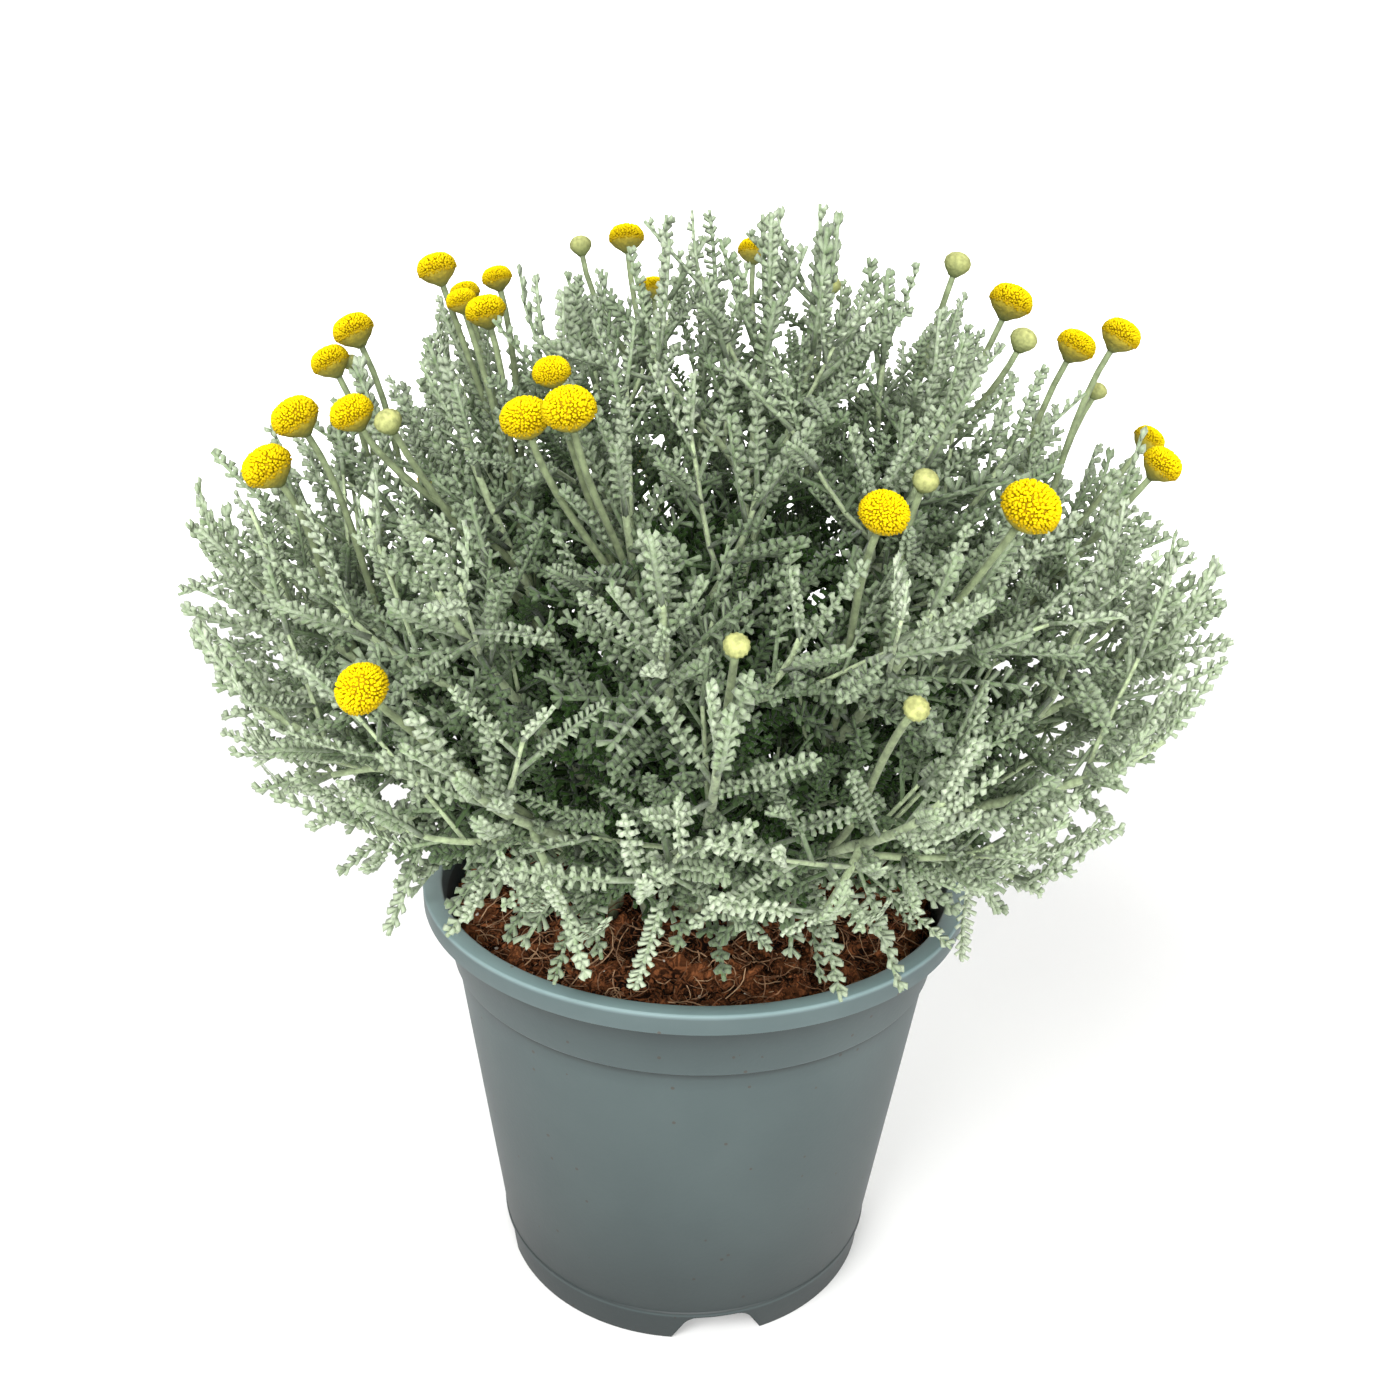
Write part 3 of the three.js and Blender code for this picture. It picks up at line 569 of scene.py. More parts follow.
crumb_mesh = bmesh.new()
grain_mesh = bmesh.new()
for mesh in (crumb_mesh, grain_mesh):
    mesh.verts.layers.float.new("tone")
for number in range(CRUMB_COUNT + GRAIN_COUNT):
    is_grain = number >= CRUMB_COUNT
    size = (0.5 + 0.2 * scatter(number, 12)) if is_grain else (1.0 + 0.5 * scatter(number, 12))
    drawn_out = 1.2 if is_grain else 2.6 + 1.2 * scatter(number, 14)
    lie = (
        Matrix.Translation(on_soil(number + 5, 9, CRUMB_REACH) + Vector((0.0, 0.0, 0.3 * size * MM)))
        @ Matrix.Rotation(math.radians(180.0 * scatter(number, 10)), 4, "Z")
        @ Matrix.Rotation(math.radians(40.0 * scatter(number, 11)), 4, "X")
        @ Matrix.Diagonal((size * drawn_out * MM, size * 0.8 * MM, size * 0.7 * MM, 1.0))
    )
    bright = (0.5 + 0.5 * scatter(number, 13)) ** 2.0
    heap = grain_mesh if is_grain else crumb_mesh
    place_copy(heap, crumb_patterns[number % len(crumb_patterns)], lie, {"tone": bright})

moist_coir = coir_material("moist_coir", SOIL_DARK, SOIL_RED, 330.0, 0.6)
coir_fibre = coir_material("coir_fibre", FIBRE_DARK, FIBRE_PALE, 160.0, 0.25)
coir_crumb = coir_material("coir_crumb", SOIL_DARK, SOIL_RED, 420.0, 0.6)
white_grain = coir_material("white_grain", GRAIN_WHITE, GRAIN_WHITE, 300.0, 0.5)
coir_soil = finished_piece("coir_soil", soil_mesh, [moist_coir])
coir_fibres = finished_piece("coir_fibres", fibre_mesh, [coir_fibre])
coir_crumbs = finished_piece("coir_crumbs", crumb_mesh, [coir_crumb])
white_grains = finished_piece("white_grains", grain_mesh, [white_grain])
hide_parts("soil")
for piece in (coir_soil, coir_fibres, coir_crumbs, white_grains):
    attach(piece, "root")

# Leafy stems
# Woody at the soil and soft above it, each grey-felted stem forks into side shoots and flower stalks.
# Comb-like leaves with four rows of club-shaped lobes stand round every shoot, crowded at its tip.
# Each stem grew as one piece: its leaves, stalks, green cups and closed buds stay with it.
CROWN = Vector((0.0, 0.0, 105.0))
SHOOTS = [
    # azimuth, lean from upright and reach from the crown of the tip, the side shoots, the heads and the buds;
    # a head or bud also has its width
    ((296, 10, 158), [(312, 13, 157), (250, 14, 146)], [], []),
    ((95, 11, 136), [(130, 22, 136)], [(119, 16, 165, 9), (105, 23, 158, 8)], [(131, 18, 165, 5.5)]),
    ((205, 12, 142), [(150, 14, 137), (232, 20, 142)], [], []),
    (
        (4, 22, 141), [(25, 30, 137), (345, 16, 146)], [(357, 24, 163, 10)],
        [(358, 19, 166, 6), (350, 26, 158, 6)],
    ),
    ((52, 22, 146), [(75, 34, 136)], [(79, 19, 165, 8.5)], [(53, 18, 157, 6)]),
    ((165, 25, 140), [(145, 33, 136)], [(183, 22, 164, 9), (178, 18, 158, 7), (163, 23, 158, 7.5)], []),
    (
        (214, 27, 136), [(190, 33, 136)], [(187, 21, 156, 7), (197, 19.5, 153, 9), (215, 34, 153, 9)],
        [(221, 33, 151, 5.5)],
    ),
    ((254, 27, 134), [(280, 26, 130)], [(242, 25, 151, 7.5), (245, 31, 152, 9.5), (252, 31, 155, 10)], []),
    ((320, 26, 142), [(340, 30, 139), (300, 30, 134)], [], []),
    (
        (352, 42, 140), [(8, 44, 138)],
        [(354, 30, 162, 9), (351, 32, 169, 9), (334, 40, 158, 8.5), (5, 42, 158, 8)], [(3, 35, 158, 4.5)],
    ),
    ((30, 44, 140), [(14, 52, 134)], [(34, 52, 148, 8.5)], []),
    ((88, 42, 138), [(70, 48, 130)], [(100, 52, 146, 9)], []),
    ((140, 44, 140), [(120, 46, 134)], [(134, 54, 148, 8)], []),
    ((182, 44, 137), [(172, 54, 130)], [(185, 30, 160, 9.5), (185, 33, 157, 9)], [(182, 32, 155, 4)]),
    ((205, 48, 150), [(196, 44, 138)], [(210, 37, 157, 10), (211, 41, 154, 10.5)], []),
    ((236, 42, 134), [(222, 46, 134)], [], []),
    ((265, 40, 132), [(282, 42, 128)], [], []),
    ((298, 42, 134), [(310, 40, 134)], [(288, 39, 154, 9), (303, 40.5, 158, 11)], [(299, 34, 147, 5)]),
    ((333, 51, 143), [(340, 48, 134), (320, 46, 138)], [], []),
    ((322, 58, 136), [(319, 69, 102)], [], []),
    ((0, 60, 126), [(350, 64, 112)], [], []),
    ((48, 60, 124), [(30, 64, 114)], [(54, 62, 146, 8.5)], []),
    ((98, 60, 120), [(76, 66, 110)], [], []),
    ((148, 60, 122), [(124, 66, 110)], [], []),
    ((198, 58, 124), [(172, 62, 116)], [], []),
    ((214, 57, 130), [(221, 65, 104), (206, 64, 108)], [], []),
    ((246, 56, 128), [(234, 62, 110), (256, 66, 108)], [(242, 53, 150, 9.5)], []),
    ((272, 52, 130), [(264, 62, 112)], [], [(273, 47, 148, 4.6)]),
    ((294, 57, 128), [(306, 62, 112), (284, 66, 108)], [], [(288, 51.5, 147, 4.6)]),
]
FORKS = (0.47, 0.67)
STALK_FORKS = (0.53, 0.66, 0.72, 0.5, 0.68)
ROOT_DEPTH = 9.0
STRAIGHT_FOOT = 3.0
MAIN_RADIUS = (1.9, 0.75)
SIDE_RADIUS = (1.05, 0.55)
STALK_RADIUS = (0.85, 0.72)
LEAF_PITCH = 4.6
LEAF_KINDS = [
    # length, pairs of lobes, where the lobes begin, and the width of the leaf
    (9.0, 6, 0.10, 3.0), (13.0, 8, 0.14, 3.4), (18.0, 11, 0.18, 3.8), (24.0, 13, 0.26, 4.3),
    (30.0, 15, 0.32, 4.8),
]
OLD_LEAF_KIND = (22.0, 8, 0.16, 6.0)
LEAF_VARIANTS = 3
LEAF_LIFTS = [
    # how far a leaf bends up to keep clear, and the share of its length that it then has
    (0.0, 1.0), (0.22, 1.0), (0.45, 0.92), (0.7, 0.8), (0.9, 0.66), (1.0, 0.5),
]
LEAF_PROBES = (0.35, 0.6, 0.8, 1.0)
LOBE_ROOT = 0.36
LOBE_TIP = 0.66
MAIN_STEPS = 16
MAIN_TAPER = 0.8
SPRIG_RADIUS = (0.62, 0.4)
SPRIG_LENGTH = 31.0
SPRIG_LENGTH_SPREAD = 8.0
SPRIG_LEAF_SHARE = 0.78
MAIN_SPRIGS = (0.22, 0.36, 0.5, 0.66, 0.82)
SIDE_SPRIGS = (0.3, 0.62)
OUTER_LEAN = 46.0
OLD_LEAVES = (30, 14)
OLD_LEAF_PLACES = ((0.12, 0.86), (0.26, 0.5))
CUP_SIDES = 20
CUP_OUTLINE = [
    # height along the stalk and radius, as shares of the width of the head
    (-0.4, 0.1), (-0.32, 0.19), (-0.22, 0.34), (-0.11, 0.44), (-0.01, 0.475), (0.03, 0.42),
]
BUD_SIDES = 28
BUD_OUTLINE = [
    # height along the stalk and radius, as shares of the width of the bud
    (-0.52, 0.16), (-0.42, 0.25), (-0.3, 0.38), (-0.12, 0.5), (0.1, 0.5), (0.28, 0.36), (0.37, 0.18),
    (0.39, 0.05),
]
BUD_RIBS = 14.0
BUD_RIB_DEPTH = 0.09
WALL_CLEAR_RADIUS = 60.0
RIM_CLEARANCE = 2.6
BOX_CLEARANCE = 1.2
HEAD_CLEARANCE = 1.8
CLEAR_ABOVE_HEAD = 16.0
DOME = [
    # how far the foliage reaches from the crown, by its lean from upright
    (0, 172), (11, 176), (16, 170), (25, 168), (33, 164), (40, 161), (47, 164), (54, 155), (60, 138),
    (66, 122), (72, 110), (80, 98), (90, 88), (180, 88),
]
RAGGED = 8.0
LEAF_SILVER = (0.495, 0.555, 0.420, 1.0)
LEAF_GREEN = (0.165, 0.240, 0.110, 1.0)
# dark green of old leaves, also used as painted shade deep in the plant
LEAF_OLD_AND_SHADED = (0.028, 0.068, 0.012, 1.0)
STEM_SILVER = (0.470, 0.570, 0.330, 1.0)
STEM_WOOD = (0.120, 0.130, 0.060, 1.0)
STALK_OLIVE = (0.240, 0.295, 0.155, 1.0)
CUP_YELLOW = (0.430, 0.320, 0.012, 1.0)
CUP_GREEN = (0.190, 0.220, 0.080, 1.0)
BUD_GREEN = (0.160, 0.200, 0.080, 1.0)
BUD_YELLOW = (0.490, 0.510, 0.190, 1.0)
LEAF_LAYERS = ("lobed", "tone", "age")
UPRIGHT = Vector((0.0, 0.0, 1.0))


def towards(azimuth, lean):
    """The direction that leans so far from upright towards an azimuth, both in degrees."""
    a, b = math.radians(azimuth), math.radians(lean)
    return Vector((math.cos(a) * math.sin(b), math.sin(a) * math.sin(b), math.cos(b)))


def place_of(azimuth, lean, reach):
    return CROWN + towards(azimuth, lean) * reach


def point_on(curve, t):
    a, b, c, d = curve
    u = 1.0 - t
    return a * u ** 3 + b * (3.0 * u * u * t) + c * (3.0 * u * t * t) + d * t ** 3


def heading_on(curve, t):
    a, b, c, d = curve
    u = 1.0 - t
    return ((b - a) * (u * u) + (c - b) * (2.0 * u * t) + (d - c) * (t * t)).normalized()


def points_on(curve, steps):
    return [point_on(curve, i / steps) for i in range(steps + 1)]


def length_of(curve):
    points = points_on(curve, 40)
    return sum((q - p).length for p, q in zip(points, points[1:]))


def tapered(radii, steps):
    """Radii that run evenly from the first of two to the second."""
    return [radii[0] + (radii[1] - radii[0]) * i / steps for i in range(steps + 1)]


def main_curve(azimuth, lean, reach):
    """The curve of a main shoot: out of its hole in the soil, up, and over to its tip."""
    out = towards(azimuth, 90.0)
    root = out * (4.0 + 0.37 * lean)
    root.z = soil_height(root.x, root.y) + STRAIGHT_FOOT
    tip = place_of(azimuth, lean, reach)
    span = (tip - root).length
    rise = (UPRIGHT + out * (lean / 110.0)).normalized()
    return (root, root + rise * (0.38 * span), tip - towards(azimuth, 0.72 * lean) * (0.32 * span), tip)


def branch_curve(parent, fork, target, finish):
    """The curve of a side shoot or stalk, from its fork to its own tip and last direction."""
    start = point_on(parent, fork)
    span = (target - start).length
    leave = (heading_on(parent, fork) + (target - start).normalized() * 0.9).normalized()
    return (start, start + leave * (0.34 * span), target - finish * (0.32 * span), target)


def across(heading, azimuth):
    """The two directions across a shoot: level with the ground, and the one square to both."""
    side = towards(azimuth + 90.0, 90.0)
    side = (side - heading * side.dot(heading)).normalized()
    return side, side.cross(heading)


def swept_shoot(bm, places, radii, segments, material, azimuth, ages):
    """A closed shoot through the given places, round in section, with its own radius at each one."""
    ring = bmesh.ops.create_circle(bm, cap_ends=True, segments=segments, radius=1.0)["verts"]
    age = bm.verts.layers.float["age"]
    tone = bm.verts.layers.float["tone"]
    face = ring[0].link_faces[0]
    old = Matrix.Identity(4)
    for i, (here, radius) in enumerate(zip(places, radii)):
        heading = (places[min(i + 1, len(places) - 1)] - places[max(i - 1, 0)]).normalized()
        side, up = across(heading, azimuth)
        frame_here = Matrix((side, up, heading)).transposed().to_4x4()
        new = Matrix.Translation(here) @ frame_here @ Matrix.Scale(radius, 4)
        if i > 0:
            grown = bmesh.ops.extrude_face_region(bm, geom=[face] + face.edges[:] + face.verts[:])["geom"]
            ring = [g for g in grown if isinstance(g, bmesh.types.BMVert)]
            face = [g for g in grown if isinstance(g, bmesh.types.BMFace)][0]
        bmesh.ops.transform(bm, matrix=new @ old.inverted(), verts=ring)
        for v in ring:
            v[age] = ages[0] + (ages[1] - ages[0]) * i / (len(places) - 1)
            v[tone] = 0.5
        old = new
    pending = [face]
    seen = set()
    while pending:
        one = pending.pop()
        if one in seen:
            continue
        seen.add(one)
        one.material_index = material
        for edge in one.edges:
            pending.extend(f for f in edge.link_faces if f not in seen)


def turned_end(bm, outline, sides, centre, axis, width, azimuth, material):
    """The cup or bud at the end of a stalk, turned to its outline."""
    places = [centre + axis * (height * width) for height, _ in outline]
    radii = [radius * width for _, radius in outline]
    swept_shoot(bm, places, radii, sides, material, azimuth, (1.0, 0.0))


def leaf_pattern(length, pairs, begin, width, variant, lobe_sides):
    """A comb leaf lying along X, its face up: a slim rib with club-shaped lobes in four rows."""
    bm = bmesh.new()
    lobed = bm.verts.layers.float.new("lobed")
    along = Matrix.Rotation(math.radians(90.0), 4, "Y")
    rib = Matrix.Translation((length * 0.5, 0.0, 0.0)) @ Matrix.Diagonal((1.0, 1.0, 0.75, 1.0)) @ along
    bmesh.ops.create_cone(bm, cap_ends=True, segments=4, radius1=0.7, radius2=0.5, depth=length, matrix=rib)
    for cut in (0.33, 0.67):
        whole = bm.verts[:] + bm.edges[:] + bm.faces[:]
        bmesh.ops.bisect_plane(bm, geom=whole, plane_co=(length * cut, 0.0, 0.0), plane_no=(1.0, 0.0, 0.0))
    for pair in range(pairs):
        for hand in (-1, 1):
            draw = 10 * pair + 3 * hand
            at = begin + (0.965 - begin) * (pair + 0.5 + 0.16 * scatter(variant + 3, draw)) / pairs
            swell = math.sin(math.pi * (0.22 + 0.62 * (pair + 0.5) / pairs))
            reach = 0.5 * width * (0.62 + 0.46 * swell) * (1.0 + 0.12 * scatter(variant + 7, draw))
            raised = (4.0 if pair % 2 else 48.0) + 12.0 * scatter(variant + 11, draw)
            opened = 66.0 - 20.0 * pair / pairs + 9.0 * scatter(variant + 15, draw)
            lie = (
                Matrix.Translation((at * length, 0.0, 0.1))
                @ Matrix.Rotation(math.radians(hand * opened), 4, "Z")
                @ Matrix.Rotation(math.radians(-raised), 4, "Y")
                @ Matrix.Diagonal((1.0, 1.0, 0.85, 1.0))
                @ Matrix.Translation((0.5 * reach, 0.0, 0.0)) @ along
            )
            lobe = bmesh.ops.create_cone(
                bm, cap_ends=True, segments=lobe_sides, radius1=LOBE_ROOT, radius2=LOBE_TIP, depth=reach,
                matrix=lie,
            )["verts"]
            for v in lobe[lobe_sides:]:
                v[lobed] = 1.0
    return pattern_mesh("leaf_pattern", bm, LEAF_LAYERS)


def leaf_variants(kind, lobe_sides):
    return [leaf_pattern(*kind, variant, lobe_sides) for variant in range(LEAF_VARIANTS)]


old_leaves = [leaf_variants(OLD_LEAF_KIND, 3)] * len(LEAF_KINDS)
shoot_leaves = [leaf_variants(kind, 4) for kind in LEAF_KINDS]
sprig_leaves = [leaf_variants(kind, 3) for kind in LEAF_KINDS]


def leaf_sites(curve, number, bare_below, lean):
    """Leaf sites down a shoot from its tip: place, share of the way down, turn, spread and length."""
    count = max(3, round(length_of(curve) * (1.0 - bare_below) / LEAF_PITCH))
    for k in range(count):
        down = k / (count - 1)
        at = 0.985 - (0.985 - bare_below) * down
        turn = number * 73.0 + k * GOLDEN_ANGLE + 9.0 * scatter(number, k)
        spread = 14.0 + (34.0 + 0.35 * lean) * min(1.0, down * 1.4) + 6.0 * scatter(number + 40, k)
        length = 17.0 + 13.0 * min(1.0, down * 3.2) - 3.0 * down + 2.5 * scatter(number + 80, k)
        yield at, down, turn, spread, length


box_low = Vector(cad_box[0]) / MM
box_high = Vector(cad_box[1]) / MM


def dome_reach(lean):
    """How far the foliage reaches from the crown at a lean from upright."""
    for (low, near), (high, far) in zip(DOME, DOME[1:]):
        if lean <= high:
            return near + (far - near) * (lean - low) / (high - low)
    return DOME[-1][1]


flower_places = [
    (place_of(azimuth, lean, reach), towards(azimuth, 0.85 * lean), width)
    for _, _, flowers, buds in SHOOTS for azimuth, lean, reach, width in flowers + buds
]


def is_clear(p, short=0.0):
    """True where a leaf may be: inside the dome of the plant, and off the pot, the soil and the flowers."""
    r = math.hypot(p.x, p.y)
    over_wall = r > WALL_CLEAR_RADIUS
    if p.z < POT_HEIGHT + RIM_CLEARANCE and (over_wall or p.z < soil_height(p.x, p.y) + RIM_CLEARANCE):
        return False
    if any(p[i] < box_low[i] + BOX_CLEARANCE or p[i] > box_high[i] - BOX_CLEARANCE for i in range(3)):
        return False
    from_crown = p - CROWN
    if from_crown.length > dome_reach(math.degrees(from_crown.angle(UPRIGHT, 0.0))) - short:
        return False
    for centre, axis, width in flower_places:
        off = p - centre
        above = off.dot(axis)
        beside = (off - axis * above).length
        if -0.4 * width < above < CLEAR_ABOVE_HEAD and beside < 0.5 * width + HEAD_CLEARANCE:
            return False
    return True


def leaf_age_and_shade(middle, down):
    """A leaf's age and painted shade, 0 to 1: more so deep in the plant and low on its shoot."""
    lean = math.degrees(middle.angle(UPRIGHT, 0.0))
    depth = 1.0 - middle.length / dome_reach(lean)
    # painted light on leaves hanging out over the rim, painted shade on upright leaves high on the plant
    hanging = clamped((lean - 62.0) / 14.0) * clamped((middle.xy.length - 50.0) / 12.0)
    upper = clamped((58.0 - lean) / 28.0)
    return clamped(0.8 * (depth - 0.09) / 0.37 + 0.36 * (down - 0.25) + 0.15 * upper - 0.9 * hanging)


def grow_leaf(bm, patterns, curve, azimuth, site, tone_number):
    """One leaf on a shoot, bent and shortened until it is clear, or none where it can't be."""
    at, down, turn, spread, length = site
    short = RAGGED * (0.5 + 0.5 * scatter(tone_number, 55))
    heading = heading_on(curve, at)
    root = point_on(curve, at)
    side, up = across(heading, azimuth)
    turn, spread = math.radians(turn), math.radians(spread)
    out = side * math.cos(turn) + up * math.sin(turn)
    direction = heading * math.cos(spread) + out * math.sin(spread)
    bend = heading * (0.16 - 0.1 * down) + Vector((0.0, 0.0, -0.24 * down))
    for lift, shorter in LEAF_LIFTS:
        sweep = bend + Vector((0.0, 0.0, lift)) - direction * (0.5 * lift)
        stretch = length * shorter
        probes = [root + direction * (stretch * s) + sweep * (stretch * s * s) for s in LEAF_PROBES]
        if all(is_clear(p, short) for p in probes):
            break
    else:
        return
    face_up = heading - out * 0.35
    face_up = (face_up - direction * face_up.dot(direction)).normalized()
    kind = min(range(len(LEAF_KINDS)), key=lambda i: abs(LEAF_KINDS[i][0] - stretch))
    pattern = patterns[kind][tone_number % LEAF_VARIANTS]
    size = stretch / max(v.co.x for v in pattern.vertices)
    lay = Matrix((direction, face_up.cross(direction), face_up)).transposed().to_4x4()
    copy = pattern.copy()
    copy.transform(Matrix.Translation(root) @ lay @ Matrix.Scale(size, 4))
    for v in copy.vertices:
        s = max(0.0, (v.co - root).dot(direction)) / stretch
        v.co += sweep * (stretch * s * s)
    age = leaf_age_and_shade(root + direction * (0.6 * stretch) - CROWN, down)
    for name, value in (("tone", 0.5 + 0.5 * scatter(tone_number, 21)), ("age", age)):
        copy.attributes[name].data.foreach_set("value", [value] * len(copy.vertices))
    bm.from_mesh(copy)
    bpy.data.meshes.remove(copy)


def scaled_value(nodes, links, value, low, high, out_low, out_high):
    """A value carried over from one range to another."""
    node = nodes.new("ShaderNodeMapRange")
    for socket, number in zip(node.inputs[1:5], (low, high, out_low, out_high)):
        socket.default_value = number
    links.new(value, node.inputs[0])
    return node.outputs[0]


def felted_leaf():
    """Grey-green leaf under a white felt, thicker on lobes and young leaves; dark with age and painted shade.
    """
    material, nodes, links, shader = worked_material("felted_leaf", LEAF_SILVER, 0.85)
    patchy = noise_colour(nodes, links, 900.0, 0.3, 0.7, LEAF_GREEN, LEAF_SILVER, 3.0)
    lobed = scaled_value(nodes, links, attribute_value(nodes, "lobed"), 0.0, 1.0, 0.1, 0.8)
    colour = mixed(nodes, links, lobed, patchy, LEAF_SILVER)
    tone = scaled_value(nodes, links, attribute_value(nodes, "tone"), 0.0, 1.0, 0.0, 0.4)
    colour = mixed(nodes, links, tone, colour, LEAF_GREEN)
    # the age attribute of a leaf also carries painted shade, mixed towards the dark green
    colour = mixed(nodes, links, attribute_value(nodes, "age"), colour, LEAF_OLD_AND_SHADED)
    links.new(colour, shader.inputs["Base Color"])
    links.new(noise_bump(nodes, links, 2600.0, 0.5, 0.0003), shader.inputs["Normal"])
    shader.inputs["Sheen Weight"].default_value = 0.18
    shader.inputs["Sheen Roughness"].default_value = 0.4
    shader.inputs["Specular IOR Level"].default_value = 0.2
    return material


def felted_stem(name, young, old, noise_scale, old_from, felt):
    """Stem, stalk, cup or bud: a speckled young colour that runs over to an old one, under a felt."""
    material, nodes, links, shader = worked_material(name, young, 0.8)
    darker = tuple(0.6 * c for c in young[:3]) + (1.0,)
    patchy = noise_colour(nodes, links, noise_scale, 0.35, 0.65, darker, young, 3.0)
    age = scaled_value(nodes, links, attribute_value(nodes, "age"), old_from, 1.0, 0.0, 1.0)
    links.new(mixed(nodes, links, age, patchy, old), shader.inputs["Base Color"])
    links.new(noise_bump(nodes, links, 1500.0, 0.5, 0.0004), shader.inputs["Normal"])
    shader.inputs["Sheen Weight"].default_value = felt
    shader.inputs["Specular IOR Level"].default_value = 0.2
    return material


felted_leaf_material = felted_leaf()
stem_material = felted_stem("felted_stem", STEM_SILVER, STEM_WOOD, 700.0, 0.75, 0.2)
stalk_material = felted_stem("flower_stalk", STALK_OLIVE, STALK_OLIVE, 500.0, 0.75, 0.1)
cup_material = felted_stem("green_cup", CUP_YELLOW, CUP_GREEN, 900.0, 0.2, 0.0)
bud_material = felted_stem("closed_bud", BUD_YELLOW, BUD_GREEN, 900.0, 0.3, 0.0)
LEAF, STEM, STALK, CUP, BUD = range(5)
open_flowers = []


def paint_faces_from(bm, first, material):
    bm.faces.ensure_lookup_table()
    for face in bm.faces[first:]:
        face.material_index = material


def rib_bud(bm, first, centre, axis, azimuth):
    """Shallow furrows down the bud whose faces start at a number."""
    bm.faces.ensure_lookup_table()
    beside, before = across(axis, azimuth)
    for v in {v for face in bm.faces[first:] for v in face.verts}:
        off = v.co - centre
        turned = math.atan2(off.dot(before), off.dot(beside))
        furrow = BUD_RIB_DEPTH * (0.5 + 0.5 * math.cos(BUD_RIBS * turned))
        v.co -= (off - axis * off.dot(axis)) * furrow


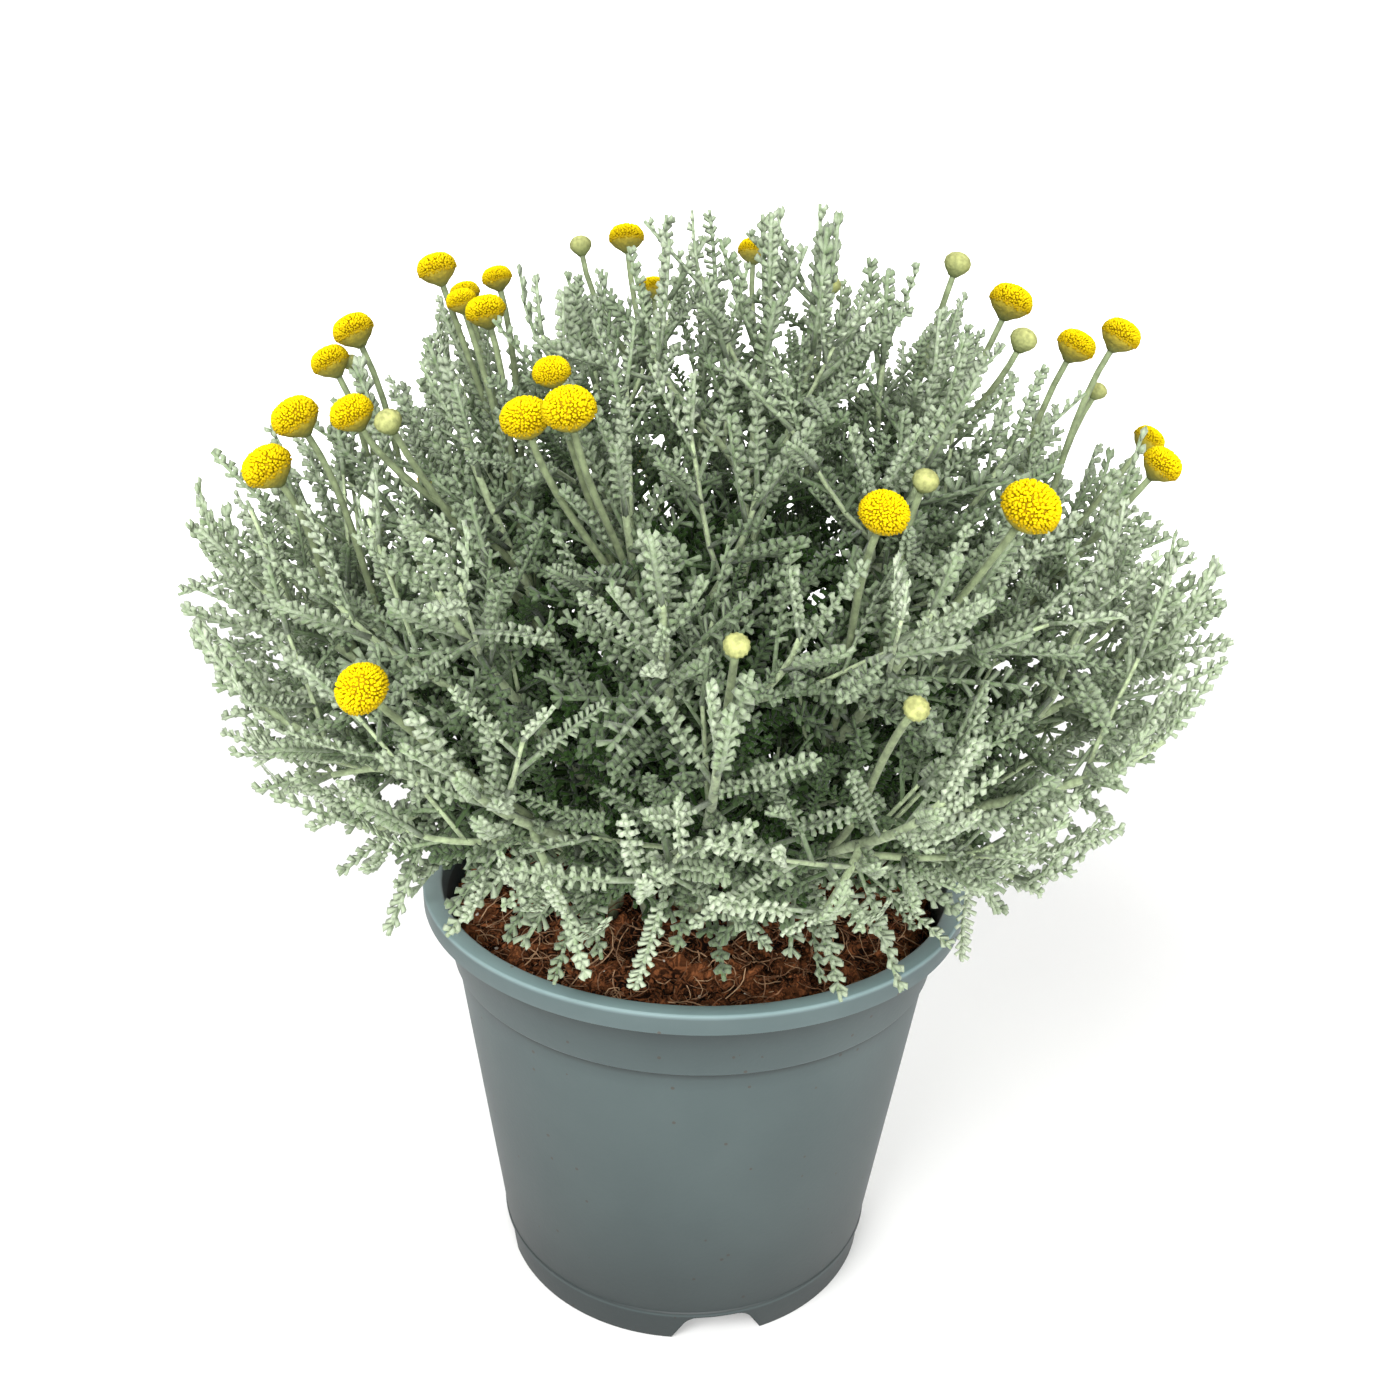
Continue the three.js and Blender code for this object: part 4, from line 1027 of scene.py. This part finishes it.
leaf_number = 0
for number, (tip, sides, flowers, buds) in enumerate(SHOOTS):
    stem_mesh = bmesh.new()
    for layer in LEAF_LAYERS:
        stem_mesh.verts.layers.float.new(layer)
    main = main_curve(*tip)
    foot = point_on(main, 0.0)
    places = [foot - UPRIGHT * (ROOT_DEPTH + STRAIGHT_FOOT), foot - UPRIGHT * 0.5]
    places += points_on(main, MAIN_STEPS)[1:]
    thinning = [(i / MAIN_STEPS) ** MAIN_TAPER for i in range(1, MAIN_STEPS + 1)]
    radii = [MAIN_RADIUS[0]] * 2 + [MAIN_RADIUS[0] + (MAIN_RADIUS[1] - MAIN_RADIUS[0]) * t for t in thinning]
    swept_shoot(stem_mesh, places, radii, 8, STEM, tip[0], (1.0, 0.0))
    shoots = [(main, tip[0], number, 0.35, tip[1])]
    for j, side in enumerate(sides):
        curve = branch_curve(main, FORKS[j], place_of(*side), towards(side[0], 0.72 * side[1]))
        swept_shoot(stem_mesh, points_on(curve, 10), tapered(SIDE_RADIUS, 10), 6, STEM, side[0], (0.55, 0.0))
        shoots.append((curve, side[0], number + 100 * (j + 1), 0.25, side[1]))
    for j, (azimuth, lean, reach, width) in enumerate(flowers + buds):
        axis = towards(azimuth, 0.85 * lean)
        centre = place_of(azimuth, lean, reach)
        curve = branch_curve(main, STALK_FORKS[j], centre - axis * (0.3 * width), axis)
        swept_shoot(stem_mesh, points_on(curve, 12), tapered(STALK_RADIUS, 12), 7, STALK, azimuth, (0.0, 0.0))
        first = len(stem_mesh.faces)
        if j < len(flowers):
            turned_end(stem_mesh, CUP_OUTLINE, CUP_SIDES, centre, axis, width, azimuth, CUP)
            open_flowers.append((centre, axis, width))
        else:
            turned_end(stem_mesh, BUD_OUTLINE, BUD_SIDES, centre, axis, width, azimuth, BUD)
            rib_bud(stem_mesh, first, centre, axis, azimuth)
    first = len(stem_mesh.faces)
    for curve, azimuth, shoot_number, bare_below, lean in shoots:
        for k, site in enumerate(leaf_sites(curve, shoot_number, bare_below, lean)):
            at, down, turn, spread, _ = site
            leaf_number += 1
            grow_leaf(stem_mesh, shoot_leaves, curve, azimuth, site, leaf_number)
            leaf_number += 1
            if k % 3 == 1:
                young_turn = turn + 24.0 * scatter(leaf_number, 41)
                young_length = 11.0 + 2.5 * scatter(leaf_number, 42)
                young = (at, down, young_turn, 0.55 * spread + 6.0, young_length)
                grow_leaf(stem_mesh, shoot_leaves, curve, azimuth, young, leaf_number)
    paint_faces_from(stem_mesh, first, LEAF)
    sprigs = []
    for j, (curve, azimuth, shoot_number, bare_below, lean) in enumerate(shoots):
        for k, at in enumerate(MAIN_SPRIGS if j == 0 else SIDE_SPRIGS):
            heading = heading_on(curve, at)
            side, up = across(heading, azimuth)
            turn = math.radians(shoot_number * 61.0 + k * GOLDEN_ANGLE)
            out = side * math.cos(turn) + up * math.sin(turn)
            way = (heading + out * 0.75 + Vector((0.0, 0.0, 0.25))).normalized()
            start = point_on(curve, at)
            span = SPRIG_LENGTH + SPRIG_LENGTH_SPREAD * scatter(shoot_number + 17, k)
            end = start + way * span
            if not is_clear(end + way * 12.0):
                continue
            sprig = (start, start + (heading + out).normalized() * 0.35 * span, end - way * 0.3 * span, end)
            places = points_on(sprig, 4)
            swept_shoot(stem_mesh, places, tapered(SPRIG_RADIUS, 4), 4, STEM, azimuth, (0.4, 0.0))
            sprigs.append((sprig, azimuth, shoot_number * 7 + 31 * k, lean))
    first = len(stem_mesh.faces)
    outer = int(tip[1] > OUTER_LEAN)
    lowest, highest = OLD_LEAF_PLACES[outer]
    for k in range(OLD_LEAVES[outer]):
        leaf_number += 1
        at = highest - (highest - lowest) * (k + 0.5) / OLD_LEAVES[outer]
        old_spread = 58.0 + 14.0 * scatter(leaf_number, 43)
        old_length = 25.0 + 4.0 * scatter(leaf_number, 44)
        old = (at, 0.5, number * 57.0 + k * GOLDEN_ANGLE, old_spread, old_length)
        grow_leaf(stem_mesh, old_leaves, main, tip[0], old, leaf_number)
    for curve, azimuth, shoot_number, lean in sprigs:
        for at, down, turn, spread, length in leaf_sites(curve, shoot_number, 0.1, lean):
            leaf_number += 1
            site = (at, down, turn, spread, SPRIG_LEAF_SHARE * length)
            grow_leaf(stem_mesh, sprig_leaves, curve, azimuth, site, leaf_number)
    paint_faces_from(stem_mesh, first, LEAF)
    bmesh.ops.scale(stem_mesh, vec=(MM, MM, MM), verts=stem_mesh.verts)
    smooth_skin(stem_mesh)
    stem_name = f"lavender_stem_{number + 1:02d}"
    stem_materials = [felted_leaf_material, stem_material, stalk_material, cup_material, bud_material]
    lavender_stem = finished_piece(stem_name, stem_mesh, stem_materials)
    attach(lavender_stem, "root")
    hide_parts(f"leafy_stem_{number + 1:02d}")

# Flower heads
# Bright yellow buttons of tiny tubular florets, packed in a spiral over a dome that is dimpled on top.
# Each head sits in the green cup of its stalk; painted shade makes the gaps between its florets a deeper
# ochre.
HEAD_FLATNESS = 0.84
HEAD_UNDERSIDE = 0.2
HEAD_CORE = 0.455
HEAD_SEAT = 0.02
HEAD_DIMPLE = 0.08
DIMPLE_FROM = 0.72
DIMPLE_SPAN = 0.28
FLORET_COUNT = 440
FLORET_SIZE = 0.033
FLORET_SUNK = 0.95
LOWEST_FLORET = -0.2
HIGHEST_FLORET = 0.998
FLORET_YELLOW = (0.950, 0.780, 0.002, 1.0)
FLORET_OCHRE = (0.700, 0.490, 0.002, 1.0)
# painted shade for the lower flank of a head, which faces away from the light
FLORET_RIM_SHADE = (0.340, 0.220, 0.003, 1.0)


def floret_pattern():
    """One floret: a small blunt peg, four-sided, standing along Z."""
    bm = bmesh.new()
    lobed = bm.verts.layers.float.new("lobed")
    bmesh.ops.create_cone(bm, cap_ends=True, segments=4, radius1=1.25, radius2=0.6, depth=1.7)
    for v in bm.verts:
        v[lobed] = 1.0 if v.co.z > 0.0 else 0.0
    return pattern_mesh("floret_pattern", bm, LEAF_LAYERS)


peg = floret_pattern()


def dimpled(cosine):
    """How far out the dome stands at a height, less where the middle of its top sinks in."""
    return 1.0 - HEAD_DIMPLE * max(0.0, (cosine - DIMPLE_FROM) / DIMPLE_SPAN)


def domed_button(bm, centre, axis, diameter, number):
    """Florets standing out of a flattened dome in a spiral, from its edge to its top."""
    base = Matrix.Translation(centre) @ axis.to_track_quat("Z", "Y").to_matrix().to_4x4()
    jitter = 0.36 * math.sqrt(2.0 * math.pi * (HIGHEST_FLORET - LOWEST_FLORET) / FLORET_COUNT)
    for k in range(FLORET_COUNT):
        part = (k + 0.5) / FLORET_COUNT
        cosine = LOWEST_FLORET + (HIGHEST_FLORET - LOWEST_FLORET) * part
        sine = math.sqrt(max(0.0, 1.0 - cosine * cosine))
        turn = math.radians(GOLDEN_ANGLE * k + 31.0 * number)
        way = Vector((sine * math.cos(turn), sine * math.sin(turn), cosine))
        way += Vector((scatter(k, number + 1), scatter(k, number + 2), scatter(k, number + 3))) * jitter
        way.normalize()
        seat = way * (0.5 * diameter * dimpled(way.z) - FLORET_SUNK * (FLORET_SIZE * diameter))
        seat.z *= HEAD_FLATNESS
        smaller_on_top = 1.0 - 0.3 * max(0.0, cosine - 0.6)
        size = FLORET_SIZE * diameter * (1.0 + 0.2 * scatter(number + 60, k)) * smaller_on_top
        stand = Matrix.Translation(seat) @ way.to_track_quat("Z", "Y").to_matrix().to_4x4()
        lay = base @ stand @ Matrix.Scale(size, 4)
        place_copy(bm, peg, lay, {"tone": 0.5 + 0.5 * scatter(number + 90, k), "age": part})


def yellow_florets():
    """Yellow where a floret stands out, with painted shade: ochre between florets and browner round the lower
    edge.
    """
    material, nodes, links, shader = worked_material("yellow_florets", FLORET_YELLOW, 0.7)
    speckled = noise_colour(nodes, links, 1800.0, 0.3, 0.6, FLORET_OCHRE, FLORET_YELLOW, 3.0)
    raised = scaled_value(nodes, links, attribute_value(nodes, "lobed"), 0.0, 0.6, 0.0, 1.0)
    colour = mixed(nodes, links, raised, FLORET_OCHRE, speckled)
    # painted shade on the head's lower flank, from its lowest florets up
    rim = scaled_value(nodes, links, attribute_value(nodes, "age"), 0.05, 0.8, 0.95, 0.0)
    colour = mixed(nodes, links, rim, colour, FLORET_RIM_SHADE)
    links.new(colour, shader.inputs["Base Color"])
    links.new(noise_bump(nodes, links, 2400.0, 0.3, 0.0003), shader.inputs["Normal"])
    shader.inputs["Specular IOR Level"].default_value = 0.06
    return material


floret_material = yellow_florets()
for number, (centre, axis, width) in enumerate(open_flowers):
    head_mesh = bmesh.new()
    for layer in LEAF_LAYERS:
        head_mesh.verts.layers.float.new(layer)
    seat = centre + axis * (HEAD_SEAT * width)
    lay = Matrix.Translation(seat) @ axis.to_track_quat("Z", "Y").to_matrix().to_4x4()
    core = bmesh.ops.create_icosphere(head_mesh, subdivisions=2, radius=1.0)["verts"]
    for v in core:
        v.co *= HEAD_CORE * width * dimpled(v.co.z)
        v.co.z *= HEAD_FLATNESS if v.co.z > 0.0 else HEAD_UNDERSIDE
    bmesh.ops.transform(head_mesh, matrix=lay, verts=core)
    domed_button(head_mesh, seat, axis, width, number)
    bmesh.ops.scale(head_mesh, vec=(MM, MM, MM), verts=head_mesh.verts)
    smooth_skin(head_mesh)
    yellow_head = finished_piece(f"yellow_head_{number + 1:02d}", head_mesh, [floret_material])
    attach(yellow_head, "root")
    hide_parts(f"flower_head_{number + 1:02d}")
